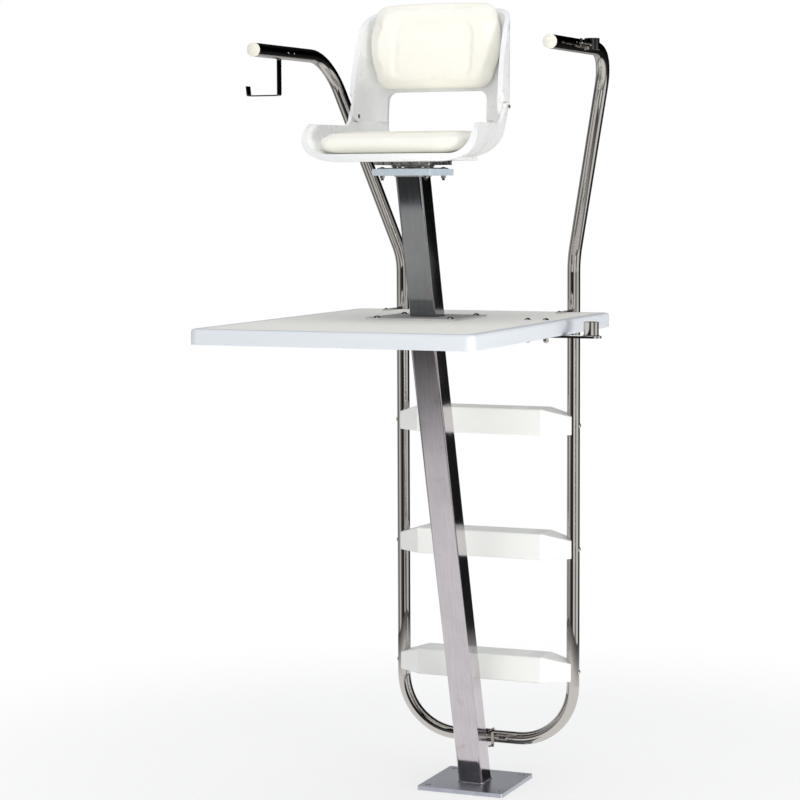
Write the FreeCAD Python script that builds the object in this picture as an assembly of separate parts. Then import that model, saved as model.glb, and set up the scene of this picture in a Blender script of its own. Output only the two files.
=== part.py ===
import FreeCAD, Part
import math
import os

from FreeCAD import Placement, Rotation, Vector

# Lifeguard chair: a leaning square post on a deck plate carries a platform, a seat column,
# a swivelling fold-down seat, and a ladder whose two tubes run on as the handrails.
# Millimetres. The origin is the centre of the deck bolt pattern, on the base plate's
# underside. +Z is up, the pool side is -Y, and the ladder is on the +Y side.

# Base plate and lower post
base_size = 266.7
base_thick = 12.0
base_corner = 6.0
deck_bolt_spacing = 216.0
deck_hole_r = 9.0
post_side = 76.2
post_wall = 4.8
post_corner_r = 8.0
post_lean = 15.4

# Platform
deck_top_z = 1408.0
deck_width = 793.0
deck_front_y = -1045.0
deck_rear_y = 66.0
deck_thick = 41.0
deck_skin = 5.0
deck_corner_r = 24.0
deck_edge_r = 8.0
core_gap = 1.0

# Plates that clamp the platform, and the upper column
foot_plate_width = 266.0
foot_plate_depth = 251.0
foot_plate_thick = 5.0
foot_plate_y = -372.0
foot_bolt_spacing_x = 218.0
foot_bolt_spacing_y = 197.0
head_plate_thick = 6.4
column_side = 76.2
column_wall = 4.8
column_lean = 14.6

# Seat mount plate and swivel
seat_axis_y = -470.0
mount_plate_top_z = 1821.0
mount_plate_thick = 18.0
mount_plate_corner = 5.0
swivel_bolt_spacing = 128.0
mount_plate_edge = 22.5
swivel_lower_edge = 12.0
swivel_upper_edge = 20.0
swivel_plate_thick = 3.0
swivel_height = 23.0
race_r = 52.0
race_depth = 1.2
ball_r = 5.0
ball_count = 16
cage_thick = 1.6
cage_width = 15.0
cage_gap = 0.6
pivot_r = 8.0
pivot_head_r = 13.0
pivot_head_thick = 3.0
hub_r = 16.0
running_gap = 0.05

# Seat pan
pan_flare = 23.0
pan_front_y = -645.0
pan_nose_y = -675.0
pan_rear_y = -285.0
pan_floor_z = 1853.0
pan_wall = 8.0
pan_lean = 10.3
pan_front_lean = 4.5
pan_corner_r = 80.0
pan_corner_growth = 0.4
pan_rear_share = 0.6
pan_belly_r = 90.0
pan_front_belly_r = 64.0
pan_rim_z = 1943.0
pan_rim_front_y = -604.0
pan_rear_rim_z = 1955.0
pan_rim_step_y = -392.0
pan_nose_r = 10.0
pan_lip_low_z = 1839.6
pan_bow = 42.0
pan_bulge_y = -651.5
pan_bulge_z = 1905.3
pan_bulge_share = 0.19
pan_lip_out = 3.0
pan_lip_side_r = 55.0
pan_lip_turn = 65.0
pan_lip_belly_r = 180.0
pan_lip_width = 20.0
pan_cut_half = 149.0
pan_cut_floor_z = 1915.0
pan_cut_r = 25.0
cutter_half = 300.0
cutter_rise = 200.0
cut_past = 5.0
pad_half = 120.0
pad_rear_y = -292.0
pad_front_y = -640.0
pad_rise = 30.0

# Back hinge
hinge_y = -352.0
hinge_z = 1990.0
hinge_pin_r = 4.0
hinge_pin_head_r = 5.0
hinge_pin_head = 3.5
arm_ledge_rise = 3.0
arm_nest_gap = 1.5
ear_step = 1.0
ear_thick = 6.7
lug_r = 11.0
lug_base_front_y = -413.0
lug_curve_y = -394.5
lug_curve_z = 1947.0
lug_front_y = -388.0
lug_front_z = 1957.0
lug_shoulder_y = -377.0
lug_shoulder_z = 1974.0
lug_base_rear_y = -320.0
lug_rear_y = -326.0
lug_rear_z = 1984.0
lug_gap = 1.5
arm_pocket_gap = 0.5
pocket_top = 50.0

# Back shell, in its own frame: y and z from the hinge line, before it leans back
back_lean = 5.0
back_half = 228.0
back_top_half = 221.0
back_rear = 70.0
back_rear_r = 55.0
back_wall = 14.0
back_top = 282.0
back_top_corner_r = 30.0
back_front_low = -34.0
back_gap_half = 149.0
back_gap_top = 53.0
back_gap_r = 26.0
arm_foot_gap = 0.5
arm_round_gap = 1.0
stop_screw_back = 4.6
stop_screw_drop = 19.5
stop_screw_r = 6.4
stop_screw_shank_r = 3.0
stop_screw_head = 2.3
pin_reach = 2.5

# Cushions
seat_pad_front_gap = 37.0
seat_pad_rear_gap = 33.0
seat_pad_front_y = -646.0
seat_pad_rear_y = -312.0
seat_pad_height = 55.0
seat_pad_slope = 1.3
seat_pad_front_r = 34.0
seat_pad_rear_r = 62.0
seat_board_thick = 6.0
seat_board_front_gap = 100.0
seat_board_rear_gap = 109.0
seat_board_front_in = 60.0
seat_board_rear_in = 90.0
back_pad_side_gap = 33.5
back_pad_top_gap = 36.0
back_pad_low_gap = 52.0
back_pad_low = 57.0
back_pad_high = 297.0
back_pad_crown = 4.0
back_pad_thick = 46.0
back_pad_corner = 44.0
back_board_thick = 5.0
board_gap = 0.4
pad_seat_gap = 0.3
back_panel_half_x = 118.0
back_panel_low = 92.0
back_panel_high = 232.0
back_panel_depth = 2.0

# Ladder and handrails
tube_r = 19.05
tube_wall = 2.0
rail_half = 270.5
ladder_y = 102.0
loop_z = 124.0
loop_bend_r = 172.0
splay_z = 1561.0
splay_bend_r = 190.0
rail_top_half = 431.0
rail_knee_y = -87.0
rail_top_z = 2150.5
knee_bend_r = 150.0
rail_end_y = -571.0
splice_length = 160.0
splice_wall = 2.5
slip_gap = 0.2
cap_flange = 5.0
cap_plug_length = 28.0
cap_crown = 4.0

# Treads
tread_z = (338.8, 705.8, 1072.5)
tread_height = 78.0
tread_end_height = 54.0
tread_taper = 76.0
tread_front = 76.0
tread_end_front = 26.0
tread_rear = 27.0
tread_edge_r = 6.0
tread_bolt_r = 4.0
tread_bolt_head_r = 7.5
tread_bolt_head = 4.0
tread_bolt_reach = 70.0
insert_r = 7.0
insert_length = 34.0

# Ladder bracket on the post
standoff_width = 50.0
standoff_height = 36.0
saddle_width = 58.0
saddle_height = 54.0
saddle_thick = 6.0
u_bolt_r = 3.0
u_bolt_gap = 0.35
u_bolt_x = 17.0
u_bolt_nut_flats = 10.0
u_bolt_nut = 5.0

# Rail tabs on the platform
tab_width = 16.0
tab_thick = 4.5
tab_front_y = -36.0
tab_screw_r = 3.0
tab_screw_head_r = 5.5
tab_screw_head = 3.0
tab_screw_depth = 30.0

# Rescue tube hook under the left handrail
hook_y = -411.0
hook_bar = 25.0
hook_thick = 3.0
hook_drop = 101.0
hook_reach = 95.0
hook_tip = 27.0
hook_tip_out = 3.0
hook_bend_r = 4.0
rivet_r = 3.5
rivet_head = 1.8
rivet_y = (-386.0, -349.0)

# Umbrella holder beside the right handrail
pole_offset = 44.0
pole_y = -356.0
holder_r = 20.5
holder_wall = 2.5
ring_length = 31.0
ring_z = 2153.0
cup_height = 38.0
cup_floor = 3.0
arm_bar_width = 40.0
arm_bar_thick = 6.4
arm_bar_inner_x = 268.0
arm_bar_tip_r = 20.0
arm_bolt_x = (292.0, 345.0)
screw_r = 4.0
screw_length = 72.0
screw_boss_r = 8.0
screw_boss_length = 13.0
tee_r = 3.2
tee_length = 22.0

# Fasteners
bolt_r = 6.0
bolt_clearance = 0.5
thread_gap = 0.1
dome_r = 10.0
dome_h = 5.5
washer_r = 12.0
washer_thick = 2.0
nut_flats = 18.0
nut_h = 10.0
small_bolt_r = 5.0
small_dome_r = 9.0
small_dome_h = 5.0
acorn_h = 17.0
small_nut_flats = 15.0

deck_bottom_z = deck_top_z - deck_thick
mount_plate_size = swivel_bolt_spacing + 2 * mount_plate_edge
swivel_lower_size = swivel_bolt_spacing + 2 * swivel_lower_edge
swivel_upper_size = swivel_bolt_spacing + 2 * swivel_upper_edge
mount_plate_bottom_z = mount_plate_top_z - mount_plate_thick
pan_bottom_z = mount_plate_top_z + swivel_height
foot_plate_top_z = deck_top_z + foot_plate_thick
head_plate_bottom_z = deck_bottom_z - head_plate_thick
pan_hinge_half = back_half - ear_step
pan_front_half = pan_hinge_half + pan_flare
lug_inner = back_half - ear_thick
seat_pad_front_half = pan_front_half - seat_pad_front_gap
seat_pad_rear_half = pan_hinge_half - seat_pad_rear_gap
back_pad_half = back_half - back_pad_side_gap
back_pad_top_half = back_top_half - back_pad_top_gap
back_pad_low_half = back_half - back_pad_low_gap
pole_x = rail_top_half + pole_offset

X = Vector(1, 0, 0)
Y = Vector(0, 1, 0)
Z = Vector(0, 0, 1)


def save(name, shape):
    shape.exportStep("parts/" + name + ".step")


def box(x0, x1, y0, y1, z0, z1):
    return Part.makeBox(x1 - x0, y1 - y0, z1 - z0, Vector(x0, y0, z0))


def rod(radius, start, direction, length):
    return Part.makeCylinder(radius, length, start, direction)


def mirrored(shape):
    return shape.mirror(Vector(0, 0, 0), X)


def prism(points, direction):
    wire = Part.makePolygon(points + [points[0]])
    return Part.Face(wire).extrude(direction)


def vertical_edges(shape):
    found = []
    for edge in shape.Edges:
        box_of_edge = edge.BoundBox
        if box_of_edge.XLength < 0.01 and box_of_edge.YLength < 0.01:
            found.append(edge)
    return found


def plate(width, depth, thick, corner, centre_y, bottom_z):
    half = width / 2
    solid = box(-half, half, centre_y - depth / 2, centre_y + depth / 2, bottom_z, bottom_z + thick)
    return solid.makeFillet(corner, vertical_edges(solid))


def corner_points(spacing_x, spacing_y, centre_y):
    return [(sx * spacing_x / 2, centre_y + sy * spacing_y / 2) for sx in (-1, 1) for sy in (-1, 1)]


def drilled(solid, places, radius, bottom_z, top_z):
    for x, y in places:
        solid = solid.cut(rod(radius, Vector(x, y, bottom_z - 1), Z, top_z - bottom_z + 2))
    return solid


def rounded_rectangle(half_x, y0, y1, radius, z):
    solid = box(-half_x, half_x, y0, y1, z, z + 1)
    solid = solid.makeFillet(radius, vertical_edges(solid))
    bottom = [face for face in solid.Faces if abs(face.BoundBox.ZMax - z) < 0.001]
    return bottom[0].OuterWire


def square_tube(side, wall, corner, lean, y_low, z_low, z_high):
    stretch = 1 / math.cos(math.radians(lean))
    rise = z_high - z_low
    along = Vector(0, -math.tan(math.radians(lean)) * rise, rise)
    half = side / 2
    outer = rounded_rectangle(half, y_low - half * stretch, y_low + half * stretch, corner, z_low)
    inner_half = half - wall
    inner_y = inner_half * stretch
    inner = rounded_rectangle(inner_half, y_low - inner_y, y_low + inner_y, corner - wall, z_low)
    return Part.Face(outer).extrude(along).cut(Part.Face(inner).extrude(along))


def dome(radius, height, centre, direction):
    """Low round head: a cap of a sphere that stands on a flat circle."""
    sphere_r = (radius ** 2 + height ** 2) / (2 * height)
    ball = Part.makeSphere(sphere_r, centre + direction * (height - sphere_r))
    return ball.common(rod(radius, centre, direction, height))


def hexagon(flats, height, centre, direction):
    reach = flats / math.sqrt(3)
    turn = Rotation(Z, direction)
    points = []
    for step in range(6):
        angle = math.radians(60 * step)
        points.append(centre + turn.multVec(Vector(reach * math.cos(angle), reach * math.sin(angle), 0)))
    return prism(points, direction * height)


def nut(flats, height, hole_r, centre, direction):
    blank = hexagon(flats, height, centre, direction)
    return blank.cut(rod(hole_r, centre - direction, direction, height + 2))


def acorn_nut(flats, height, hole_r, hole_depth, centre, direction):
    """Closed nut with a domed end, open on the side that meets the plate."""
    cap_r = flats / 2
    body = hexagon(flats, height - cap_r, centre, direction)
    cap = Part.makeSphere(cap_r, centre + direction * (height - cap_r))
    solid = body.fuse(cap).removeSplitter()
    return solid.cut(rod(hole_r, centre - direction, direction, hole_depth + 1))


def post_y(z):
    return -math.tan(math.radians(post_lean)) * z


def column_y(z):
    bottom = seat_axis_y + math.tan(math.radians(column_lean)) * (mount_plate_bottom_z - foot_plate_top_z)
    return bottom - math.tan(math.radians(column_lean)) * (z - foot_plate_top_z)


# Stand

def base_plate():
    solid = plate(base_size, base_size, base_thick, base_corner, 0, 0)
    holes = corner_points(deck_bolt_spacing, deck_bolt_spacing, 0)
    return drilled(solid, holes, deck_hole_r, 0, base_thick)


def lower_post():
    return square_tube(post_side, post_wall, post_corner_r, post_lean, post_y(base_thick), base_thick,
                       head_plate_bottom_z)


def foot_bolt_places():
    return corner_points(foot_bolt_spacing_x, foot_bolt_spacing_y, foot_plate_y)


def post_head_plate():
    solid = plate(foot_plate_width, foot_plate_depth, head_plate_thick, base_corner, foot_plate_y,
                  head_plate_bottom_z)
    return drilled(solid, foot_bolt_places(), bolt_r + bolt_clearance, head_plate_bottom_z, deck_bottom_z)


def deck_holes(solid, z0, z1):
    """Every hole that passes right through the platform."""
    solid = drilled(solid, foot_bolt_places(), bolt_r + bolt_clearance, z0, z1)
    arm_bolts = [(x, pole_y) for x in arm_bolt_x]
    return drilled(solid, arm_bolts, small_bolt_r + bolt_clearance, z0, z1)


def deck_block(inset, z0, z1, corner):
    half = deck_width / 2 - inset
    solid = box(-half, half, deck_front_y + inset, deck_rear_y - inset, z0, z1)
    return solid.makeFillet(corner, vertical_edges(solid))


def tab_screw_places():
    return [(side * rail_half, tab_front_y + tab_width / 2) for side in (-1, 1)]


def platform_deck():
    """Moulded tray: top skin and turned-down rim, open underneath for the core."""
    outer = deck_block(0, deck_bottom_z, deck_top_z, deck_corner_r)
    rounded = []
    for edge in outer.Edges:
        if edge.BoundBox.ZLength < 0.01:
            rounded.append(edge)
    outer = outer.makeFillet(deck_edge_r, [e for e in rounded if e.BoundBox.ZMin > deck_top_z - 1])
    inside = deck_block(deck_skin, deck_bottom_z, deck_top_z - deck_skin, deck_corner_r - deck_skin)
    solid = outer.cut(inside)
    solid = deck_holes(solid, deck_bottom_z, deck_top_z)
    return drilled(solid, tab_screw_places(), tab_screw_r + thread_gap, deck_bottom_z, deck_top_z)


def platform_core():
    """Stiffening board that fills the tray."""
    bottom = deck_bottom_z + deck_skin
    top = deck_top_z - deck_skin
    solid = deck_block(deck_skin + core_gap, bottom, top, deck_corner_r - deck_skin - core_gap)
    solid = deck_holes(solid, bottom, top)
    return drilled(solid, tab_screw_places(), tab_screw_r + thread_gap, top - tab_screw_depth, top)


def platform_underside():
    bottom = deck_bottom_z
    solid = deck_block(deck_skin + core_gap, bottom, bottom + deck_skin, deck_corner_r - deck_skin - core_gap)
    return deck_holes(solid, bottom, bottom + deck_skin)


def column_foot_plate():
    solid = plate(foot_plate_width, foot_plate_depth, foot_plate_thick, base_corner, foot_plate_y, deck_top_z)
    return drilled(solid, foot_bolt_places(), bolt_r + bolt_clearance, deck_top_z, foot_plate_top_z)


def upper_column():
    return square_tube(column_side, column_wall, post_corner_r, column_lean, column_y(foot_plate_top_z),
                       foot_plate_top_z, mount_plate_bottom_z)


def foot_bolts():
    solids = []
    end_z = head_plate_bottom_z - washer_thick - nut_h - 3
    for x, y in foot_bolt_places():
        shank = rod(bolt_r, Vector(x, y, end_z), Z, foot_plate_top_z - end_z)
        solids.append(shank.fuse(dome(dome_r, dome_h, Vector(x, y, foot_plate_top_z), Z)))
    return Part.makeCompound(solids)


def foot_washers():
    solids = []
    for x, y in foot_bolt_places():
        low = Vector(x, y, head_plate_bottom_z - washer_thick)
        ring = rod(washer_r, low, Z, washer_thick)
        solids.append(ring.cut(rod(bolt_r + bolt_clearance, low - Z, Z, washer_thick + 2)))
    return Part.makeCompound(solids)


def foot_nuts():
    solids = []
    for x, y in foot_bolt_places():
        top = Vector(x, y, head_plate_bottom_z - washer_thick)
        solids.append(nut(nut_flats, nut_h, bolt_r + thread_gap, top, -Z))
    return Part.makeCompound(solids)


# Seat mount and swivel

def swivel_bolt_places():
    return corner_points(swivel_bolt_spacing, swivel_bolt_spacing, seat_axis_y)


def seat_mount_plate():
    solid = plate(mount_plate_size, mount_plate_size, mount_plate_thick, mount_plate_corner, seat_axis_y,
                  mount_plate_bottom_z)
    return drilled(solid, swivel_bolt_places(), tread_bolt_r + bolt_clearance, mount_plate_bottom_z,
                   mount_plate_top_z)


def race(z):
    return Part.makeTorus(race_r, ball_r + thread_gap, Vector(0, seat_axis_y, z), Z)


def lower_plate_top():
    return mount_plate_top_z + swivel_plate_thick


def ball_z():
    return lower_plate_top() + ball_r - race_depth


def swivel_lower_plate():
    solid = plate(swivel_lower_size, swivel_lower_size, swivel_plate_thick, mount_plate_corner, seat_axis_y,
                  mount_plate_top_z)
    solid = drilled(solid, swivel_bolt_places(), tread_bolt_r + bolt_clearance, mount_plate_top_z,
                    lower_plate_top())
    return solid.cut(race(ball_z()))


def swivel_upper_plate():
    top = pan_bottom_z
    low = top - swivel_plate_thick
    solid = plate(swivel_upper_size, swivel_upper_size, swivel_plate_thick, mount_plate_corner, seat_axis_y, low)
    track_low = ball_z() + cage_thick / 2 + cage_gap
    inner = race_r - ball_r - 2
    outer = race_r + ball_r + 2
    track = rod(outer, Vector(0, seat_axis_y, track_low), Z, low - track_low)
    track = track.cut(rod(inner, Vector(0, seat_axis_y, track_low - 1), Z, low - track_low + 2))
    solid = solid.fuse(track).cut(race(ball_z() + thread_gap))
    hub_low = lower_plate_top() + 0.5
    solid = solid.fuse(rod(hub_r, Vector(0, seat_axis_y, hub_low), Z, low - hub_low))
    solid = solid.cut(rod(pivot_r + running_gap, Vector(0, seat_axis_y, hub_low - 1), Z, top - hub_low + 2))
    return drilled(solid.removeSplitter(), seat_screw_places(), small_bolt_r + bolt_clearance, low, top)


def seat_screw_places():
    spacing = swivel_upper_size - 24
    return corner_points(spacing, spacing, seat_axis_y)


def swivel_balls():
    solids = []
    for step in range(ball_count):
        angle = 2 * math.pi * step / ball_count
        centre = Vector(race_r * math.cos(angle), seat_axis_y + race_r * math.sin(angle), ball_z())
        solids.append(Part.makeSphere(ball_r, centre))
    return Part.makeCompound(solids)


def swivel_ball_cage():
    low = Vector(0, seat_axis_y, ball_z() - cage_thick / 2)
    ring = rod(race_r + cage_width / 2, low, Z, cage_thick)
    ring = ring.cut(rod(race_r - cage_width / 2, low - Z, Z, cage_thick + 2))
    for step in range(ball_count):
        angle = 2 * math.pi * step / ball_count
        centre = Vector(race_r * math.cos(angle), seat_axis_y + race_r * math.sin(angle), ball_z())
        ring = ring.cut(Part.makeSphere(ball_r + thread_gap, centre))
    return ring


def swivel_pivot():
    """Kingpin riveted in the lower plate, with a flat head over the upper plate."""
    low = Vector(0, seat_axis_y, lower_plate_top())
    neck = pan_bottom_z + 0.5 - lower_plate_top()
    head = rod(pivot_head_r, low + Z * neck, Z, pivot_head_thick)
    return rod(pivot_r, low, Z, neck + 1).fuse(head)


def swivel_bolts():
    solids = []
    for x, y in swivel_bolt_places():
        low = Vector(x, y, mount_plate_bottom_z - 13)
        shank = rod(tread_bolt_r, low, Z, lower_plate_top() - low.z)
        solids.append(shank.fuse(dome(tread_bolt_head_r, 3.0, Vector(x, y, lower_plate_top()), Z)))
    return Part.makeCompound(solids)


def swivel_nuts():
    solids = []
    for x, y in swivel_bolt_places():
        solids.append(nut(13.0, 7.0, tread_bolt_r + thread_gap, Vector(x, y, mount_plate_bottom_z), -Z))
    return Part.makeCompound(solids)


# Seat pan

def pan_half(y):
    slope = (pan_front_half - pan_hinge_half) / (hinge_y - pan_front_y)
    return pan_hinge_half + slope * (hinge_y - y)


def settle(shape):
    """Place a piece drawn on a floor at height 0 onto the pan's own floor."""
    placed = shape.copy()
    placed.translate(Vector(0, 0, pan_floor_z))
    return placed


def wall_inset(height, wall, belly_r, lean_angle):
    """How far the side lies inside the rim, that far above the pan's underside."""
    lean = math.radians(lean_angle)
    radius = belly_r - wall
    outer_touch = belly_r - belly_r * math.sin(lean)
    touch = belly_r - radius * math.sin(lean)
    centre = (pan_rear_rim_z - pan_floor_z - outer_touch) * math.tan(lean) + belly_r * math.cos(lean)
    if height < touch:
        return centre - math.sqrt(radius ** 2 - (belly_r - height) ** 2)
    return centre - radius * math.cos(lean) - (height - touch) * math.tan(lean)


def scoop(wall, height):
    """Tub with leaning sides, a rounded belly and ball corners at the rear, open at the front."""
    front_y = pan_nose_y - 60
    steps = 6
    heights = []
    for step in range(steps):
        angle = math.radians((90 - pan_lean) * step / steps)
        heights.append(pan_belly_r - (pan_belly_r - wall) * math.cos(angle))
    touch = pan_belly_r - (pan_belly_r - wall) * math.sin(math.radians(pan_lean))
    for share in (0.0, 0.15, 0.4, 0.7, 1.0):
        heights.append(touch + (height - touch) * share)
    wires = []
    for level in heights:
        front_inset = wall_inset(level, wall, pan_front_belly_r, pan_front_lean)
        inset = wall_inset(level, wall, pan_belly_r, pan_lean)
        rear_y = pan_rear_y - wall - pan_rear_share * (inset - wall)
        corner = pan_corner_r - wall + pan_corner_growth * max(inset - wall, 0)
        wires.append(tapered_outline(pan_half(front_y) - front_inset, pan_half(rear_y) - inset, front_y, rear_y,
                                     pan_nose_r, corner, level))
    return settle(Part.makeLoft(wires, True, False))


def lip_side(side, half, y, floor_z):
    """One bend of the front lip: a tight turn at the side, then a long flat one under the belly."""
    turn = math.radians(pan_lip_turn)
    half_turn = turn / 2
    rest = math.radians(90 - pan_lip_turn)
    drop = pan_lip_belly_r * (1 - math.cos(rest))
    run = pan_lip_belly_r * math.sin(rest)
    knee_x = half - pan_lip_side_r * (1 - math.cos(turn))
    top_z = floor_z + drop + pan_lip_side_r * math.sin(turn)
    tight = Part.Arc(Vector(side * half, y, top_z),
                     Vector(side * (half - pan_lip_side_r * (1 - math.cos(half_turn))), y,
                            top_z - pan_lip_side_r * math.sin(half_turn)),
                     Vector(side * knee_x, y, floor_z + drop)).toShape()
    centre_x = knee_x - run
    long = Part.Arc(Vector(side * knee_x, y, floor_z + drop),
                    Vector(side * (centre_x + pan_lip_belly_r * math.sin(rest / 2)), y,
                           floor_z + pan_lip_belly_r * (1 - math.cos(rest / 2))),
                    Vector(side * centre_x, y, floor_z)).toShape()
    return tight, long, top_z, centre_x


def trough(y0, y1, outset, floor_z, top_z):
    """U-shaped prism that widens towards the front."""
    wires = []
    for y in (y0, y1):
        half = pan_half(y) + outset
        tight, long, bend_z, flat_x = lip_side(1, half, y, floor_z)
        left_tight, left_long, bend_z, flat_x = lip_side(-1, half, y, floor_z)
        edges = [Part.makeLine(Vector(-half, y, top_z), Vector(-half, y, bend_z)), left_tight, left_long,
                 Part.makeLine(Vector(-flat_x, y, floor_z), Vector(flat_x, y, floor_z)), long, tight,
                 Part.makeLine(Vector(half, y, bend_z), Vector(half, y, top_z)),
                 Part.makeLine(Vector(half, y, top_z), Vector(-half, y, top_z))]
        wires.append(Part.Wire(Part.__sortEdges__(edges)))
    return Part.makeLoft(wires, True, True)


def side_profile(x):
    """Side view of the pan at one station: its rim with the step, and the rounded, bowed front edge."""
    low = pan_lip_low_z
    bow = pan_bow * (x / cutter_half) ** 2
    nose_y = pan_nose_y + bow
    bend = pan_nose_r * (1 - math.sqrt(0.5))
    rim = Vector(x, pan_rim_front_y, pan_rim_z)
    bulge = Vector(x, pan_bulge_y + pan_bulge_share * bow, pan_bulge_z)
    nose = Vector(x, nose_y, low + pan_nose_r)
    under = Vector(x, nose_y + pan_nose_r, low)
    rear_low = Vector(x, pan_rear_y + 5, low)
    rear_top = Vector(x, pan_rear_y + 5, pan_rear_rim_z)
    step_top = Vector(x, pan_rim_step_y, pan_rear_rim_z)
    step_low = Vector(x, pan_rim_step_y - 16, pan_rim_z)
    edges = [Part.Arc(rim, bulge, nose).toShape(),
             Part.Arc(nose, Vector(x, nose_y + bend, low + bend), under).toShape(),
             Part.makeLine(under, rear_low), Part.makeLine(rear_low, rear_top),
             Part.makeLine(rear_top, step_top), Part.makeLine(step_top, step_low),
             Part.makeLine(step_low, rim)]
    return Part.Wire(edges)


def pan_envelope():
    stations = [-1.0, -0.8, -0.54, -0.27, 0.0, 0.27, 0.54, 0.8, 1.0]
    return Part.makeLoft([side_profile(cutter_half * share) for share in stations], True, False)


def pan_lip():
    """Flange round the front edge, deeper and a little wider than the tub behind it."""
    top = pan_rear_rim_z + cut_past
    band = trough(pan_nose_y - cut_past, pan_front_y + pan_corner_r, pan_lip_out, pan_lip_low_z, top)
    behind = pan_envelope()
    behind.translate(Vector(0, pan_lip_width, 0))
    return band.common(pan_envelope()).cut(behind)


def ear_side_view():
    """Side view of the ears that stand up from the side walls and carry the back's hinge pins."""
    x = -cutter_half
    base_z = pan_rim_z - 2 * lug_r
    foot = Vector(x, lug_base_front_y, pan_rim_z)
    front = Vector(x, lug_front_y, lug_front_z)
    shoulder = Vector(x, lug_shoulder_y, lug_shoulder_z)
    top_front = Vector(x, hinge_y - lug_r, hinge_z)
    top_rear = Vector(x, hinge_y + lug_r, hinge_z)
    rear = Vector(x, lug_rear_y, lug_rear_z)
    rear_base = Vector(x, lug_base_rear_y, pan_rear_rim_z)
    rear_low = Vector(x, lug_base_rear_y, base_z)
    low = Vector(x, lug_base_front_y, base_z)
    edges = [Part.makeLine(low, foot),
             Part.Arc(foot, Vector(x, lug_curve_y, lug_curve_z), front).toShape(),
             Part.makeLine(front, shoulder), Part.makeLine(shoulder, top_front),
             Part.makeLine(top_front, top_rear), Part.makeLine(top_rear, rear), Part.makeLine(rear, rear_base),
             Part.makeLine(rear_base, rear_low), Part.makeLine(rear_low, low)]
    outline = Part.Face(Part.Wire(edges)).extrude(X * 2 * cutter_half)
    return outline.fuse(rod(lug_r, Vector(x, hinge_y, hinge_z), X, 2 * cutter_half))


def rear_cut():
    high = pan_rear_rim_z + pan_cut_r
    front = pan_rear_y - pan_corner_r / 2
    solid = box(-pan_cut_half, pan_cut_half, front, pan_rear_y + cut_past, pan_cut_floor_z, high)
    lower = []
    for edge in solid.Edges:
        bounds = edge.BoundBox
        if bounds.YLength > pan_corner_r / 2 and abs(bounds.ZMax - pan_cut_floor_z) < 0.1:
            lower.append(edge)
    return solid.makeFillet(pan_cut_r, lower)


def seat_pan():
    side = pan_envelope().fuse(ear_side_view())
    body = scoop(0, cutter_rise).common(side).fuse(pan_lip())
    foot = box(-pad_half, pad_half, pad_front_y, pad_rear_y, pan_bottom_z, pan_bottom_z + pad_rise)
    body = body.fuse(foot).cut(rear_cut())
    above = pan_rear_rim_z + cutter_rise
    low_half = box(-cutter_half, cutter_half, pan_nose_y - cut_past, 0, pan_bottom_z, pan_rear_rim_z)
    body = body.cut(scoop(pan_wall, cutter_rise).common(low_half))
    body = body.cut(box(-lug_inner, lug_inner, pan_nose_y - cut_past, 0, pan_rear_rim_z, above))
    for side in (-1, 1):
        start = Vector(side * (pan_hinge_half + 20), hinge_y, hinge_z)
        body = body.cut(rod(hinge_pin_r + running_gap, start, X * -side, 35))
    pocket = pivot_head_r + 2
    pocket_depth = pivot_head_thick + 1.5
    body = body.cut(rod(pocket, Vector(0, seat_axis_y, pan_bottom_z - 1), Z, pocket_depth + 1))
    for x, y in seat_screw_places():
        body = body.cut(rod(small_bolt_r - 1 + thread_gap, Vector(x, y, pan_bottom_z - 1), Z, 13.5))
    return body.removeSplitter()


def seat_screws():
    solids = []
    low = pan_bottom_z - swivel_plate_thick
    for x, y in seat_screw_places():
        shank = rod(small_bolt_r - 1, Vector(x, y, low), Z, swivel_plate_thick + 12)
        solids.append(shank.fuse(dome(small_dome_r - 2, 2.5, Vector(x, y, low), -Z)))
    return Part.makeCompound(solids)


def ear_reach():
    """How far the ear's outer face has leaned out at the height of the top of the pin's head."""
    rise = hinge_z + hinge_pin_head_r - pan_rear_rim_z
    return rise * math.tan(math.radians(pan_lean)) + 0.7


def hinge_pins():
    """Shouldered pins through the ears; their plain inner ends carry the back's arms."""
    solids = []
    seat = pan_hinge_half + ear_reach()
    inner = back_half - back_wall + pin_reach
    for side in (-1, 1):
        pin = rod(hinge_pin_r, Vector(side * inner, hinge_y, hinge_z), X * side, seat - inner + 1)
        head = rod(hinge_pin_head_r, Vector(side * seat, hinge_y, hinge_z), X * side, hinge_pin_head)
        solids.append(pin.fuse(head))
    return Part.makeCompound(solids)


# Cushions

def tapered_outline(front_half, rear_half, y0, y1, front_r, rear_r, z):
    start = Vector(0, y0, z)
    points = [start, Vector(front_half, y0, z), Vector(rear_half, y1, z), Vector(-rear_half, y1, z),
              Vector(-front_half, y0, z), start]
    return bent_path(points, [front_r, rear_r, rear_r, front_r])


def seat_cushion():
    """Crowned pad: drawn in below to follow the tub, rounded over on top, cupped round its board."""
    wires = []
    shape = [(30, 74, 14, 52, 0.0), (18, 50, 7, 42, 0.07), (9, 36, 3, 28, 0.16), (3, 19, 0, 16, 0.33),
             (0, 7, 0, 4, 0.55), (2, 3, 2, 1, 0.7), (8, 6, 9, 6, 0.83), (20, 16, 20, 16, 0.92),
             (40, 34, 38, 32, 0.97), (90, 80, 84, 74, 1.0)]
    low = pan_wall + pad_seat_gap
    for front_in, rear_in, from_front, from_rear, share in shape:
        wire = tapered_outline(seat_pad_front_half - front_in, seat_pad_rear_half - rear_in,
                               seat_pad_front_y + from_front, seat_pad_rear_y - from_rear,
                               seat_pad_front_r, seat_pad_rear_r, low + seat_pad_height * share)
        wire.rotate(Vector(0, pan_front_y, low), X, seat_pad_slope * share)
        wires.append(wire)
    pad = Part.makeLoft(wires, True, True)
    return settle(pad.cut(seat_board_block(board_gap)))


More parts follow.
